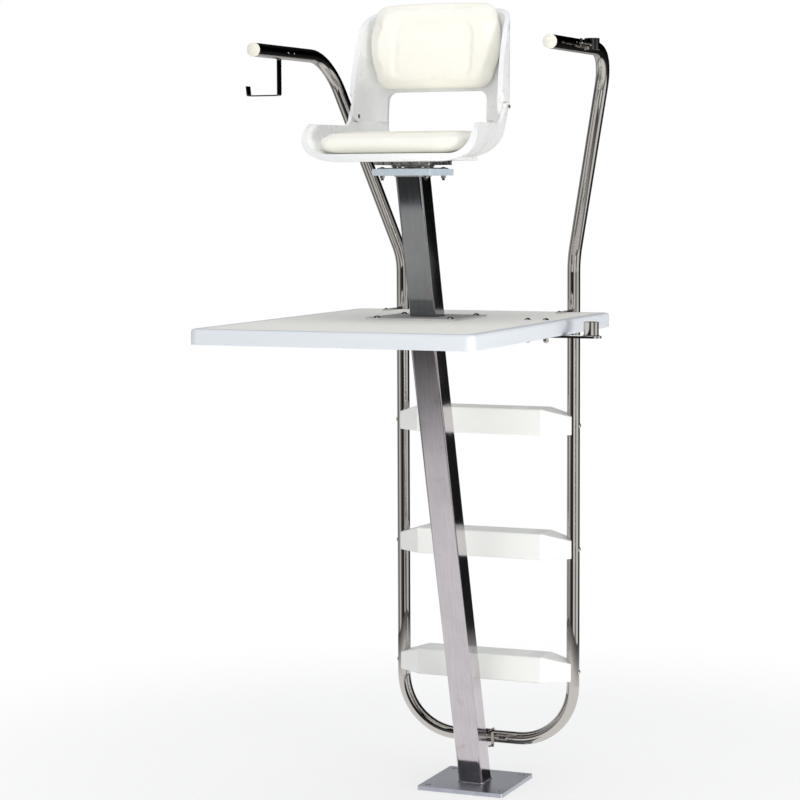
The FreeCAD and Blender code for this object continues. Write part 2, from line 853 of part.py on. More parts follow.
def seat_board_block(grow):
    half_front = pan_front_half - seat_board_front_gap + grow
    half_rear = pan_hinge_half - seat_board_rear_gap + grow
    wire = tapered_outline(half_front, half_rear, seat_pad_front_y + seat_board_front_in - grow,
                           seat_pad_rear_y - seat_board_rear_in + grow, seat_pad_front_r / 2, seat_pad_rear_r / 2,
                           pan_wall)
    return Part.Face(wire).extrude(Z * (seat_board_thick + grow))


def seat_cushion_board():
    return settle(seat_board_block(0))


def back_pad_rear():
    return back_rear - back_wall - pad_seat_gap


def back_pad_outline(inset, z):
    """Outline of the back cushion lying flat: bowed sides, narrower at its low end."""
    tall = (back_pad_high - back_pad_low) / 2 - inset
    low_half = back_pad_low_half - inset
    mid_half = back_pad_half - inset
    top_half = back_pad_top_half - inset
    r = back_pad_corner - inset * 0.25
    c = r * (1 - math.sqrt(0.5))
    top = tall - back_pad_crown
    edges = [Part.makeLine(Vector(-low_half + r, -tall, z), Vector(low_half - r, -tall, z)),
             Part.Arc(Vector(low_half - r, -tall, z), Vector(low_half - c, -tall + c, z),
                      Vector(low_half, -tall + r, z)).toShape(),
             Part.Arc(Vector(low_half, -tall + r, z), Vector(mid_half, 14, z),
                      Vector(top_half, top - r, z)).toShape(),
             Part.Arc(Vector(top_half, top - r, z), Vector(top_half - c, top - c, z),
                      Vector(top_half - r, top, z)).toShape(),
             Part.Arc(Vector(top_half - r, top, z), Vector(0, tall, z), Vector(-top_half + r, top, z)).toShape(),
             Part.Arc(Vector(-top_half + r, top, z), Vector(-top_half + c, top - c, z),
                      Vector(-top_half, top - r, z)).toShape(),
             Part.Arc(Vector(-top_half, top - r, z), Vector(-mid_half, 14, z),
                      Vector(-low_half, -tall + r, z)).toShape(),
             Part.Arc(Vector(-low_half, -tall + r, z), Vector(-low_half + c, -tall + c, z),
                      Vector(-low_half + r, -tall, z)).toShape()]
    return Part.Wire(edges)


def back_pad_block():
    """Back cushion, lying with its rear down."""
    wires = []
    shape = [(26, 0.0), (15, 0.06), (8, 0.13), (3, 0.25), (0, 0.42), (1, 0.58), (5, 0.74), (12, 0.87),
             (21, 0.95), (32, 1.0)]
    for inset, share in shape:
        wires.append(back_pad_outline(inset, back_pad_thick * share))
    return Part.makeLoft(wires, True, True)


def stand_up(shape, centre, rear):
    """Turn a block that lies on its rear face into the back's own frame."""
    turned = shape.copy()
    turned.rotate(Vector(0, 0, 0), X, 90)
    turned.translate(Vector(0, rear, centre))
    return turned


def lean_back(shape):
    """Place a piece drawn in the back's frame: hinge line at the origin."""
    placed = shape.copy()
    placed.rotate(Vector(0, 0, 0), X, -back_lean)
    placed.translate(Vector(0, hinge_y, hinge_z))
    return placed


def back_cushion():
    centre = (back_pad_low + back_pad_high) / 2
    upright = stand_up(back_pad_block(), centre, back_pad_rear())
    front = back_pad_rear() - back_pad_thick
    panel = box(-back_panel_half_x, back_panel_half_x, front - 20, front + back_panel_depth,
                back_panel_low, back_panel_high)
    edges = [edge for edge in panel.Edges if edge.BoundBox.YLength > 5]
    panel = panel.makeFillet(20.0, edges)
    return lean_back(upright.cut(panel).cut(back_board_block(board_gap)))


def back_board_block(grow):
    rear = back_rear - back_wall
    half = back_pad_low_half - 32 + grow
    solid = box(-half, half, rear - back_board_thick - grow, rear, back_pad_low + 34 - grow,
                back_pad_high - 36 + grow)
    edges = [edge for edge in solid.Edges if edge.BoundBox.XLength < 0.1 and edge.BoundBox.ZLength < 0.1]
    return solid.makeFillet(24.0, edges)


def back_cushion_board():
    return lean_back(back_board_block(0))


# Back shell

def back_section(half, rear, radius, front, z):
    bend = radius * math.sqrt(0.5)
    edges = [Part.makeLine(Vector(-half, front, z), Vector(-half, rear - radius, z)),
             Part.Arc(Vector(-half, rear - radius, z),
                      Vector(-half + radius - bend, rear - radius + bend, z),
                      Vector(-half + radius, rear, z)).toShape(),
             Part.makeLine(Vector(-half + radius, rear, z), Vector(half - radius, rear, z)),
             Part.Arc(Vector(half - radius, rear, z),
                      Vector(half - radius + bend, rear - radius + bend, z),
                      Vector(half, rear - radius, z)).toShape(),
             Part.makeLine(Vector(half, rear - radius, z), Vector(half, front, z)),
             Part.makeLine(Vector(half, front, z), Vector(-half, front, z))]
    return Part.Wire(edges)


def back_block(inset, front):
    low = -60.0
    high = back_top + 10
    radius = back_rear_r - inset
    rear = back_rear - inset
    lower = Part.makeLoft([back_section(back_half - inset, rear, radius, front, low),
                           back_section(back_half - inset, rear, radius, front, 30.0)], True, True)
    upper = Part.makeLoft([back_section(back_half - inset, rear, radius, front, 30.0),
                           back_section(back_top_half - inset, rear, radius, front, high)], True, True)
    return lower.fuse(upper)


def back_outline():
    """Front view of the back: its sides and round upper corners."""
    y = -80.0
    low = -60.0
    half = back_half + 5
    r = back_top_corner_r
    side = back_top_half + 1
    turn = back_top - r
    c = r * (1 - math.sqrt(0.5))
    edges = [Part.makeLine(Vector(-half, y, low), Vector(-half, y, turn - 40)),
             Part.makeLine(Vector(-half, y, turn - 40), Vector(-side, y, turn)),
             Part.Arc(Vector(-side, y, turn), Vector(-side + c, y, back_top - c),
                      Vector(-side + r, y, back_top)).toShape(),
             Part.makeLine(Vector(-side + r, y, back_top), Vector(side - r, y, back_top)),
             Part.Arc(Vector(side - r, y, back_top), Vector(side - c, y, back_top - c),
                      Vector(side, y, turn)).toShape(),
             Part.makeLine(Vector(side, y, turn), Vector(half, y, turn - 40)),
             Part.makeLine(Vector(half, y, turn - 40), Vector(half, y, low)),
             Part.makeLine(Vector(half, y, low), Vector(-half, y, low))]
    return Part.Face(Part.Wire(edges)).extrude(Y * 200)


def back_side_view():
    """Side view of the back: its wrapped sides grow shallow towards the top."""
    x = -300.0
    low = Vector(x, back_front_low, -60)
    knee = Vector(x, back_front_low, 28)
    waist = Vector(x, back_front_low + 10, 110)
    neck = Vector(x, 10.5, 222)
    shoulder = Vector(x, 42, 259)
    crown = Vector(x, 62, 275)
    rear_top = Vector(x, 75, back_top + 3)
    edges = [Part.makeLine(low, knee), Part.Arc(knee, waist, neck).toShape(),
             Part.Arc(neck, shoulder, crown).toShape(), Part.makeLine(crown, rear_top),
             Part.makeLine(rear_top, Vector(x, 90, back_top + 3)),
             Part.makeLine(Vector(x, 90, back_top + 3), Vector(x, 90, -60)),
             Part.makeLine(Vector(x, 90, -60), low)]
    return Part.Face(Part.Wire(edges)).extrude(X * 600)


def lumbar_cut():
    solid = box(-back_gap_half, back_gap_half, -60, back_rear + 20, -80, back_gap_top)
    upper = []
    for edge in solid.Edges:
        bounds = edge.BoundBox
        if bounds.YLength > 50 and abs(bounds.ZMax - back_gap_top) < 0.1 and abs(bounds.ZMin - back_gap_top) < 0.1:
            upper.append(edge)
    return solid.makeFillet(back_gap_r, upper)


def arm_foot():
    """What the arms lose so that they clear the pan at rest and through the fold."""
    floor = pan_rear_rim_z + arm_foot_gap
    half = cutter_half
    low = floor - cutter_rise
    below = box(-half, half, hinge_y - cutter_rise, hinge_y + cutter_rise, low, floor)
    reach = hinge_z - floor
    front = box(-half, half, hinge_y - cutter_rise, hinge_y, low, hinge_z)
    start = Vector(-half - cut_past, hinge_y, hinge_z)
    front = front.cut(rod(reach - arm_round_gap, start, X, 2 * (half + cut_past)))
    return below.fuse(front)


def lug_pocket():
    """Space in the outer face of the +X arm for the pan's ear, through the fold."""
    inner = lug_inner - arm_pocket_gap
    radius = lug_r + lug_gap
    rear = lug_base_rear_y + lug_gap
    front = hinge_y - cutter_rise / 2
    low = pan_rim_z - lug_r
    slant = pocket_top - 2 * radius
    points = [Vector(inner, front, low), Vector(inner, rear, low), Vector(inner, rear, pan_rear_rim_z + lug_gap),
              Vector(inner, lug_rear_y + lug_gap, lug_rear_z + lug_gap),
              Vector(inner, hinge_y + radius, hinge_z + lug_gap), Vector(inner, hinge_y, hinge_z + radius),
              Vector(inner, hinge_y - radius, hinge_z + 2 * radius),
              Vector(inner, hinge_y - radius - slant, hinge_z + pocket_top),
              Vector(inner, front, hinge_z + pocket_top)]
    return prism(points, X * 40).fuse(rod(radius, Vector(inner, hinge_y, hinge_z), X, 40))


def arm_nest():
    """What the arms lose at their feet so that they stand inside the pan's own outline."""
    half = cutter_half
    low = pan_rear_rim_z - cut_past
    block = box(-half, half, hinge_y - cutter_rise, 0, low, hinge_z + arm_ledge_rise)
    return block.cut(scoop(arm_nest_gap, cutter_rise))


def back_shell():
    body = back_block(0, -60).common(back_outline()).common(back_side_view())
    body = body.cut(back_block(back_wall, -90)).cut(lumbar_cut())
    body = lean_back(body)
    body = body.cut(arm_foot()).cut(lug_pocket()).cut(mirrored(lug_pocket())).cut(arm_nest())
    inner = back_half - back_wall
    for side in (-1, 1):
        start = Vector(side * (inner + pin_reach - thread_gap), hinge_y, hinge_z)
        body = body.cut(rod(hinge_pin_r + running_gap, start, X * side, cutter_half))
        centre = Vector(side * inner, hinge_y + stop_screw_back, hinge_z - stop_screw_drop)
        body = body.cut(rod(stop_screw_shank_r + thread_gap, centre, X * side, 6))
        body = body.cut(rod(stop_screw_r + 2 * thread_gap, centre, X * -side, 8))
    return body.removeSplitter()


def back_stop_screws():
    solids = []
    inner = back_half - back_wall
    for side in (-1, 1):
        face = Vector(side * inner, hinge_y + stop_screw_back, hinge_z - stop_screw_drop)
        shank = rod(stop_screw_shank_r, face, X * side, 5.5)
        solids.append(shank.fuse(dome(stop_screw_r, stop_screw_head, face, X * -side)))
    return Part.makeCompound(solids)


# Ladder and handrails

def rail_route():
    """Corner points of the right-hand tube, from the foot of the loop to the rail's end."""
    return [Vector(0, ladder_y, loop_z), Vector(rail_half, ladder_y, loop_z),
            Vector(rail_half, ladder_y, splay_z), Vector(rail_top_half, rail_knee_y, rail_top_z),
            Vector(rail_top_half, rail_end_y, rail_top_z)]


def bent_path(points, radii):
    """Straight runs joined by tangent arcs."""
    edges = []
    start = points[0]
    for index, radius in enumerate(radii):
        corner = points[index + 1]
        inward = (corner - points[index]).normalize()
        outward = (points[index + 2] - corner).normalize()
        turn = inward.getAngle(outward)
        tangent = radius * math.tan(turn / 2)
        first = corner - inward * tangent
        last = corner + outward * tangent
        towards = (outward - inward).normalize()
        middle = corner + towards * (radius / math.cos(turn / 2) - radius)
        edges.append(Part.makeLine(start, first))
        edges.append(Part.Arc(first, middle, last).toShape())
        start = last
    edges.append(Part.makeLine(start, points[-1]))
    return Part.Wire(edges)


def swept(points, radii, radius):
    path = bent_path(points, radii)
    direction = (points[1] - points[0]).normalize()
    ring = Part.Wire(Part.Circle(points[0], direction, radius).toShape())
    pipe = Part.BRepOffsetAPI.MakePipeShell(path)
    pipe.setFrenetMode(False)
    pipe.add(ring)
    pipe.build()
    pipe.makeSolid()
    return pipe.shape()


def right_rail():
    points = rail_route()
    radii = [loop_bend_r, splay_bend_r, knee_bend_r]
    solid = swept(points, radii, tube_r).cut(swept(points, radii, tube_r - tube_wall))
    for z in tread_z:
        start = Vector(rail_half - tube_r - 5, ladder_y, z)
        solid = solid.cut(rod(tread_bolt_r + thread_gap, start, X, tube_r * 2 + 10))
    return solid


def left_rail():
    solid = mirrored(right_rail())
    for y in rivet_y:
        start = Vector(-rail_top_half + tube_r - 6, y, rail_top_z)
        solid = solid.cut(rod(rivet_r - 1 + thread_gap, start, X, 10))
    return solid


def rail_splice():
    outer = tube_r - tube_wall - slip_gap
    start = Vector(-splice_length / 2, ladder_y, loop_z)
    return rod(outer, start, X, splice_length).cut(rod(outer - splice_wall, start - X, X, splice_length + 2))


def end_cap(side):
    """Domed plastic plug in the open end of a handrail."""
    face = Vector(side * rail_top_half, rail_end_y, rail_top_z)
    inner = tube_r - tube_wall - slip_gap
    plug = rod(inner, face, Y, cap_plug_length)
    plug = plug.cut(rod(inner - 3, face + Y * 4, Y, cap_plug_length))
    flange = rod(tube_r, face, -Y, cap_flange)
    crown = dome(tube_r, cap_crown, face - Y * cap_flange, -Y)
    return plug.fuse(flange).fuse(crown).removeSplitter()


# Treads

def tread(z):
    """Moulded tread: deep in the middle, drawn in at the ends, hollowed round the tubes."""
    end_half = rail_half
    mid_half = rail_half - tread_taper
    front = ladder_y - tread_front
    end_front = ladder_y - tread_end_front
    rear = ladder_y + tread_rear
    high = tread_height / 2
    plan = [Vector(-end_half, end_front, z - high), Vector(-mid_half, front, z - high),
            Vector(mid_half, front, z - high), Vector(end_half, end_front, z - high),
            Vector(end_half, rear, z - high), Vector(-end_half, rear, z - high)]
    solid = prism(plan, Z * tread_height)
    drop = tread_height - tread_end_height
    end_high = tread_end_height / 2
    mid_top = end_high + drop
    profile = [Vector(-end_half, front - 1, z - end_high), Vector(end_half, front - 1, z - end_high),
               Vector(end_half, front - 1, z + end_high), Vector(mid_half, front - 1, z + mid_top),
               Vector(-mid_half, front - 1, z + mid_top), Vector(-end_half, front - 1, z + end_high)]
    solid.translate(Vector(0, 0, mid_top - high))
    solid = solid.common(prism(profile, Y * (tread_front + tread_rear + 2)))
    wanted = []
    for edge in solid.Edges:
        bounds = edge.BoundBox
        if bounds.XLength > 20:
            wanted.append(edge)
    solid = solid.makeFillet(tread_edge_r, wanted)
    for side in (-1, 1):
        column = Vector(side * rail_half, ladder_y, z - tread_height)
        solid = solid.cut(rod(tube_r + slip_gap, column, Z, tread_height * 2))
        insert = Vector(side * (rail_half - tube_r + 3), ladder_y, z)
        solid = solid.cut(rod(insert_r, insert, X * -side, insert_length + 3))
        solid = solid.cut(rod(tread_bolt_r + thread_gap, insert, X * -side, tread_bolt_reach))
    return solid


def tread_bolts():
    solids = []
    for z in tread_z:
        for side in (-1, 1):
            face = Vector(side * (rail_half + tube_r), ladder_y, z)
            shank = rod(tread_bolt_r, face, X * -side, tread_bolt_reach)
            solids.append(shank.fuse(dome(tread_bolt_head_r, tread_bolt_head, face, X * side)))
    return Part.makeCompound(solids)


def tread_inserts():
    solids = []
    for z in tread_z:
        for side in (-1, 1):
            start = Vector(side * (rail_half - tube_r - slip_gap - 1), ladder_y, z)
            sleeve = rod(insert_r, start, X * -side, insert_length - 2)
            solids.append(sleeve.cut(rod(tread_bolt_r + thread_gap, start + X * side, X * -side,
                                         insert_length + 2)))
    return Part.makeCompound(solids)


# Ladder bracket

def ladder_standoff():
    """Arm welded to the post's rear face, ending in a plate that backs the loop tube."""
    low = loop_z - standoff_height / 2
    high = loop_z + standoff_height / 2
    stretch = post_side / 2 / math.cos(math.radians(post_lean))
    half = standoff_width / 2
    face = ladder_y - tube_r - slip_gap
    points = [Vector(-half, post_y(low) + stretch, low), Vector(-half, post_y(high) + stretch, high),
              Vector(-half, face - 1, high), Vector(-half, face - 1, low)]
    arm = prism(points, X * standoff_width)
    wide = saddle_width / 2
    tall = saddle_height / 2
    solid = arm.fuse(box(-wide, wide, face - saddle_thick, face, loop_z - tall, loop_z + tall))
    for place in u_bolt_legs():
        solid = solid.cut(rod(u_bolt_r + thread_gap, Vector(place.x, face - saddle_thick - 1, place.z), Y,
                              saddle_thick + 2))
    for place in u_bolt_legs():
        nut_room = u_bolt_nut_flats / math.sqrt(3) + 0.5
        solid = solid.cut(rod(nut_room, Vector(place.x, face - saddle_thick - 12, place.z), Y, 12))
    return solid.removeSplitter()


def u_bolt_bend_r():
    return tube_r + u_bolt_gap + u_bolt_r


def u_bolt_legs():
    return [Vector(x, 0, loop_z + s * u_bolt_bend_r()) for x in (-u_bolt_x, u_bolt_x) for s in (-1, 1)]


def ladder_u_bolts():
    solids = []
    start = ladder_y - tube_r - saddle_thick - u_bolt_nut - 4
    for x in (-u_bolt_x, u_bolt_x):
        bend = Part.makeTorus(u_bolt_bend_r(), u_bolt_r, Vector(x, ladder_y, loop_z), X)
        solid = bend.common(box(x - 10, x + 10, ladder_y, ladder_y + 40, loop_z - 40, loop_z + 40))
        for s in (-1, 1):
            leg = Vector(x, start, loop_z + s * u_bolt_bend_r())
            solid = solid.fuse(rod(u_bolt_r, leg, Y, ladder_y - start))
        solids.append(solid.removeSplitter())
    return Part.makeCompound(solids)


def ladder_u_bolt_nuts():
    solids = []
    face = ladder_y - tube_r - slip_gap - saddle_thick
    for place in u_bolt_legs():
        solids.append(nut(u_bolt_nut_flats, u_bolt_nut, u_bolt_r + thread_gap, Vector(place.x, face, place.z), -Y))
    return Part.makeCompound(solids)


# Rail tabs

def rail_tab(side):
    """Flat bar from the handrail tube onto the platform, screwed down."""
    x = side * rail_half
    low = deck_top_z
    bar = box(x - tab_width / 2, x + tab_width / 2, tab_front_y, ladder_y - tube_r + 8, low, low + tab_thick)
    bar = bar.cut(rod(tube_r + 0.1, Vector(x, ladder_y, low - 5), Z, 20))
    hole = Vector(x, tab_front_y + tab_width / 2, low - 1)
    return bar.cut(rod(tab_screw_r + thread_gap, hole, Z, tab_thick + 2))


def rail_tab_screws():
    solids = []
    top = deck_top_z + tab_thick
    for x, y in tab_screw_places():
        shank = rod(tab_screw_r, Vector(x, y, top - tab_screw_depth), Z, tab_screw_depth)
        solids.append(shank.fuse(dome(tab_screw_head_r, tab_screw_head, Vector(x, y, top), Z)))
    return Part.makeCompound(solids)


# Rescue tube hook

def rescue_hook():
    """Flat bar bent to a J: a leg down from the rail, a reach outwards, and a lip."""
    x = -rail_top_half
    top = rail_top_z - tube_r + 4
    low = top - hook_drop - 4
    tip_x = x - hook_reach
    half = hook_thick / 2
    centre = [Vector(x, 0, top), Vector(x, 0, low), Vector(tip_x, 0, low),
              Vector(tip_x - hook_tip_out, 0, low + hook_tip)]
    path = bent_path(centre, [hook_bend_r, hook_bend_r])
    y0 = hook_y - hook_bar / 2
    profile = Part.makePolygon([Vector(x - half, y0, top), Vector(x + half, y0, top),
                                Vector(x + half, y0 + hook_bar, top), Vector(x - half, y0 + hook_bar, top),
                                Vector(x - half, y0, top)])
    pipe = Part.BRepOffsetAPI.MakePipeShell(path)
    pipe.add(profile)
    pipe.build()
    pipe.makeSolid()
    bar = pipe.shape()
    return bar.cut(rod(tube_r + thread_gap, Vector(x, hook_y - hook_bar, rail_top_z), Y, 2 * hook_bar))


def rail_rivets():
    solids = []
    for y in rivet_y:
        face = Vector(-rail_top_half + tube_r, y, rail_top_z)
        shank = rod(rivet_r - 1, face, -X, 5)
        solids.append(shank.fuse(dome(rivet_r, rivet_head, face, X)))
    return Part.makeCompound(solids)


# Umbrella holder

def umbrella_bracket():
    """Flat bar bolted under the platform; its round end carries the cup."""
    top = deck_bottom_z
    low = top - arm_bar_thick
    half = arm_bar_width / 2
    tip = pole_x + holder_r + 8 - arm_bar_tip_r
    bar = box(arm_bar_inner_x, tip, pole_y - half, pole_y + half, low, top)
    bar = bar.fuse(rod(arm_bar_tip_r, Vector(tip, pole_y, low), Z, arm_bar_thick))
    places = [(x, pole_y) for x in arm_bolt_x]
    return drilled(bar.removeSplitter(), places, small_bolt_r + bolt_clearance, low, top)


def umbrella_cup():
    low = Vector(pole_x, pole_y, deck_bottom_z)
    cup = rod(holder_r, low, Z, cup_height)
    return cup.cut(rod(holder_r - holder_wall, low + Z * cup_floor, Z, cup_height))


def umbrella_bracket_bolts():
    solids = []
    low = deck_bottom_z - arm_bar_thick - 12
    for x in arm_bolt_x:
        shank = rod(small_bolt_r, Vector(x, pole_y, low), Z, deck_top_z - low)
        solids.append(shank.fuse(dome(small_dome_r, small_dome_h, Vector(x, pole_y, deck_top_z), Z)))
    return Part.makeCompound(solids)


def umbrella_bracket_nuts():
    solids = []
    top = deck_bottom_z - arm_bar_thick
    for x in arm_bolt_x:
        solids.append(acorn_nut(small_nut_flats, acorn_h, small_bolt_r + thread_gap, 13.0,
                                Vector(x, pole_y, top), -Z))
    return Part.makeCompound(solids)


def umbrella_ring():
    """Short guide tube welded to the handrail, with a tapped boss on its pool side."""
    low = Vector(pole_x, pole_y, ring_z - ring_length / 2)
    tube = rod(holder_r, low, Z, ring_length)
    boss_start = Vector(pole_x, pole_y, ring_z)
    boss = rod(screw_boss_r, boss_start, -Y, holder_r + screw_boss_length)
    weld = box(rail_top_half + 8, pole_x, pole_y - 9, pole_y + 9, rail_top_z - 9, rail_top_z + 9)
    weld = weld.cut(rod(tube_r + 0.1, Vector(rail_top_half, pole_y - 20, rail_top_z), Y, 40))
    solid = tube.fuse(boss).fuse(weld)
    solid = solid.cut(rod(holder_r - holder_wall, low - Z, Z, ring_length + 2))
    return solid.cut(rod(screw_r + running_gap, boss_start, -Y, holder_r + screw_boss_length + 1))


def umbrella_thumbscrew():
    """Clamping screw with a cross bar, drawn wound back until its end is flush."""
    inner = holder_r - holder_wall
    start = Vector(pole_x, pole_y - inner - 0.5, ring_z)
    shank = rod(screw_r, start, -Y, screw_length)
    end = start - Y * screw_length
    bar = rod(tee_r, end - Z * (tee_length / 2), Z, tee_length)
    knob = Part.makeSphere(screw_r + 1.5, end)
    return shank.fuse(knob).fuse(bar).removeSplitter()


def build():
    os.makedirs("parts", exist_ok=True)
    save("base_plate", base_plate())
    save("lower_post", lower_post())
    save("post_head_plate", post_head_plate())
    save("platform_deck", platform_deck())
    save("platform_core", platform_core())
    save("platform_underside", platform_underside())
    save("column_foot_plate", column_foot_plate())
    save("upper_column", upper_column())
    save("foot_bolts", foot_bolts())
    save("foot_washers", foot_washers())
    save("foot_nuts", foot_nuts())
    save("seat_mount_plate", seat_mount_plate())
    save("swivel_lower_plate", swivel_lower_plate())
    save("swivel_balls", swivel_balls())
    save("swivel_ball_cage", swivel_ball_cage())
    save("swivel_pivot", swivel_pivot())
    save("swivel_bolts", swivel_bolts())
    save("swivel_nuts", swivel_nuts())
    save("swivel_upper_plate", swivel_upper_plate())
    save("seat_screws", seat_screws())
    save("seat_pan", seat_pan())
    save("seat_cushion_board", seat_cushion_board())
    save("seat_cushion", seat_cushion())
    save("hinge_pins", hinge_pins())
    save("back_shell", back_shell())
    save("back_stop_screws", back_stop_screws())
    save("back_cushion_board", back_cushion_board())
    save("back_cushion", back_cushion())
    save("right_rail", right_rail())
    save("left_rail", left_rail())
    save("rail_splice", rail_splice())
    save("right_end_cap", end_cap(1))
    save("left_end_cap", end_cap(-1))
    for name, z in zip(("tread_lower", "tread_middle", "tread_upper"), tread_z):
        save(name, tread(z))
    save("tread_bolts", tread_bolts())
    save("tread_inserts", tread_inserts())
    save("ladder_standoff", ladder_standoff())
    save("ladder_u_bolts", ladder_u_bolts())
    save("ladder_u_bolt_nuts", ladder_u_bolt_nuts())
    save("right_rail_tab", rail_tab(1))
    save("left_rail_tab", rail_tab(-1))
    save("rail_tab_screws", rail_tab_screws())
    save("rescue_hook", rescue_hook())
    save("rail_rivets", rail_rivets())
    save("umbrella_bracket", umbrella_bracket())
    save("umbrella_cup", umbrella_cup())
    save("umbrella_bracket_bolts", umbrella_bracket_bolts())
    save("umbrella_bracket_nuts", umbrella_bracket_nuts())
    save("umbrella_ring", umbrella_ring())
    save("umbrella_thumbscrew", umbrella_thumbscrew())


build()
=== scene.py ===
import bpy
import bmesh
import math
from mathutils import Matrix, Vector, noise
from mathutils.bvhtree import BVHTree


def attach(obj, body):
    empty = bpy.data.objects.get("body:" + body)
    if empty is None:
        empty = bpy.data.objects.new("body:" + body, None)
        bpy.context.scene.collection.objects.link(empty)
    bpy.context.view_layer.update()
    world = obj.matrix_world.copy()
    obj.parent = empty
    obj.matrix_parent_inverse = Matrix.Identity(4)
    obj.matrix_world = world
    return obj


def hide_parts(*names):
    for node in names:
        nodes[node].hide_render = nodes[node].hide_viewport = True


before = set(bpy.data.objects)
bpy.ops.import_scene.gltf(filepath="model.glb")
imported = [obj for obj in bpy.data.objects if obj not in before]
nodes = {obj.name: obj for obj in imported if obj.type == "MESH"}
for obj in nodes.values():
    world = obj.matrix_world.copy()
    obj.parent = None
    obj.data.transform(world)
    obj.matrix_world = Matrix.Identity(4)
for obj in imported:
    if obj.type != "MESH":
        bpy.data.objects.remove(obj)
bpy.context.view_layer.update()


# Camera: a long lens a little above the platform, to the right of the chair's middle line.
# Its place and turn are fitted to the platform's corners, the posts and the treads.

scene = bpy.context.scene
scene.view_settings.view_transform = "Standard"
camera_place = Vector((2.5334, -6.6039, 1.7794))
camera_yaw = math.radians(22.771)
camera_pitch = math.radians(5.1)
camera_roll = math.radians(-0.243)
lens = bpy.data.cameras.new("camera")
lens.lens = 108.74
lens.sensor_width = 36.0
camera = bpy.data.objects.new("camera", lens)
scene.collection.objects.link(camera)
back = Vector((math.sin(camera_yaw) * math.cos(camera_pitch), -math.cos(camera_yaw) * math.cos(camera_pitch),
               math.sin(camera_pitch)))
right = Vector((math.cos(camera_yaw), math.sin(camera_yaw), 0))
up = back.cross(right)
turned_right = right * math.cos(camera_roll) + up * math.sin(camera_roll)
turned_up = up * math.cos(camera_roll) - right * math.sin(camera_roll)
turn = Matrix((turned_right, turned_up, back)).transposed().to_4x4()
camera.matrix_world = Matrix.Translation(camera_place) @ turn
scene.camera = camera


# Studio sweep: a pale floor and a white surround.
# The floor keeps the chair's shadow near it and runs out to plain white further off.
# Glossy and transmission rays count as camera rays, so metal sees the same white.

def linear(colour):
    """An sRGB hex colour as linear red, green, blue and alpha."""
    parts = [int(colour[i:i + 2], 16) / 255 for i in (1, 3, 5)]
    return [c / 12.92 if c <= 0.04045 else ((c + 0.055) / 1.055) ** 2.4 for c in parts] + [1.0]


def add(tree, kind, links=(), **settings):
    """A node of one kind. Settings are its attributes, and links its inputs: a socket or a value."""
    node = tree.nodes.new(kind)
    for name, value in settings.items():
        setattr(node, name, value)
    for name, value in dict(links).items():
        if isinstance(value, bpy.types.NodeSocket):
            tree.links.new(value, node.inputs[name])
        else:
            node.inputs[name].default_value = value
    return node


def seen_directly(tree):
    """1 for camera, glossy and transmission rays, and 0 for the rays that carry diffuse light."""
    path = add(tree, "ShaderNodeLightPath")
    both = add(tree, "ShaderNodeMath", {0: path.outputs["Is Camera Ray"], 1: path.outputs["Is Glossy Ray"]},
               operation="MAXIMUM")
    return add(tree, "ShaderNodeMath", {0: both.outputs[0], 1: path.outputs["Is Transmission Ray"]},
               operation="MAXIMUM").outputs[0]


def new_material(name):
    """A material with an empty tree."""
    made = bpy.data.materials.new(name)
    made.use_nodes = True
    made.node_tree.nodes.clear()
    return made, made.node_tree


def mesh_object(name, points, faces, edges=()):
    """A piece with its place in its mesh."""
    data = bpy.data.meshes.new(name)
    data.from_pydata([tuple(p) for p in points], list(edges), faces)
    data.update()
    made = bpy.data.objects.new(name, data)
    scene.collection.objects.link(made)
    return made


surround = bpy.data.worlds.new("white_surround")
scene.world = surround
surround.use_nodes = True
tree = surround.node_tree
tree.nodes.clear()
ambient = add(tree, "ShaderNodeBackground", {"Color": linear("#F6F8FC"), "Strength": 0.74})
backdrop = add(tree, "ShaderNodeBackground", {"Color": linear("#FFFFFF"), "Strength": 1.0})
mixed = add(tree, "ShaderNodeMixShader",
            {0: seen_directly(tree), 1: ambient.outputs[0], 2: backdrop.outputs[0]})
add(tree, "ShaderNodeOutputWorld", {"Surface": mixed.outputs[0]})

floor_half = 40.0
shadow_reach = 1.0
shadow_fade = 2.4
near_white = 0.62
floor = mesh_object("floor", [(-floor_half, -floor_half, 0), (floor_half, -floor_half, 0),
                              (floor_half, floor_half, 0), (-floor_half, floor_half, 0)], [(0, 1, 2, 3)])
floor_paper, tree = new_material("white_floor_paper")
where = add(tree, "ShaderNodeTexCoord")
distance = add(tree, "ShaderNodeVectorMath", {0: where.outputs["Object"]}, operation="LENGTH")
fade = add(tree, "ShaderNodeMapRange", {"Value": distance.outputs["Value"], "From Min": shadow_reach,
                                        "From Max": shadow_fade, "To Min": near_white},
           interpolation_type="SMOOTHSTEP")
far_white = add(tree, "ShaderNodeMath", {0: fade.outputs["Result"], 1: seen_directly(tree)},
                operation="MULTIPLY")
paper = add(tree, "ShaderNodeBsdfDiffuse", {"Color": linear("#F9F9F9")})
plain_white = add(tree, "ShaderNodeEmission", {"Color": linear("#FFFFFF"), "Strength": 1.0})
mixed = add(tree, "ShaderNodeMixShader",
            {0: far_white.outputs[0], 1: paper.outputs[0], 2: plain_white.outputs[0]})
add(tree, "ShaderNodeOutputMaterial", {"Surface": mixed.outputs[0]})
floor.data.materials.append(floor_paper)


# Lamps: a soft key low at the right front, a soft front light at eye height and a top light.
# With the surround they light a white surface to about white. The treads' right ends and the middle
# of the back cushion just reach it.

def lamp(name, place, target, width, height, power, colour):
    light = bpy.data.lights.new(name, "AREA")
    light.shape = "RECTANGLE"
    light.size = width
    light.size_y = height
    light.energy = power
    light.color = linear(colour)[:3]
    made = bpy.data.objects.new(name, light)
    scene.collection.objects.link(made)
    made.location = place
    made.rotation_euler = (Vector(target) - Vector(place)).to_track_quat("-Z", "Y").to_euler()


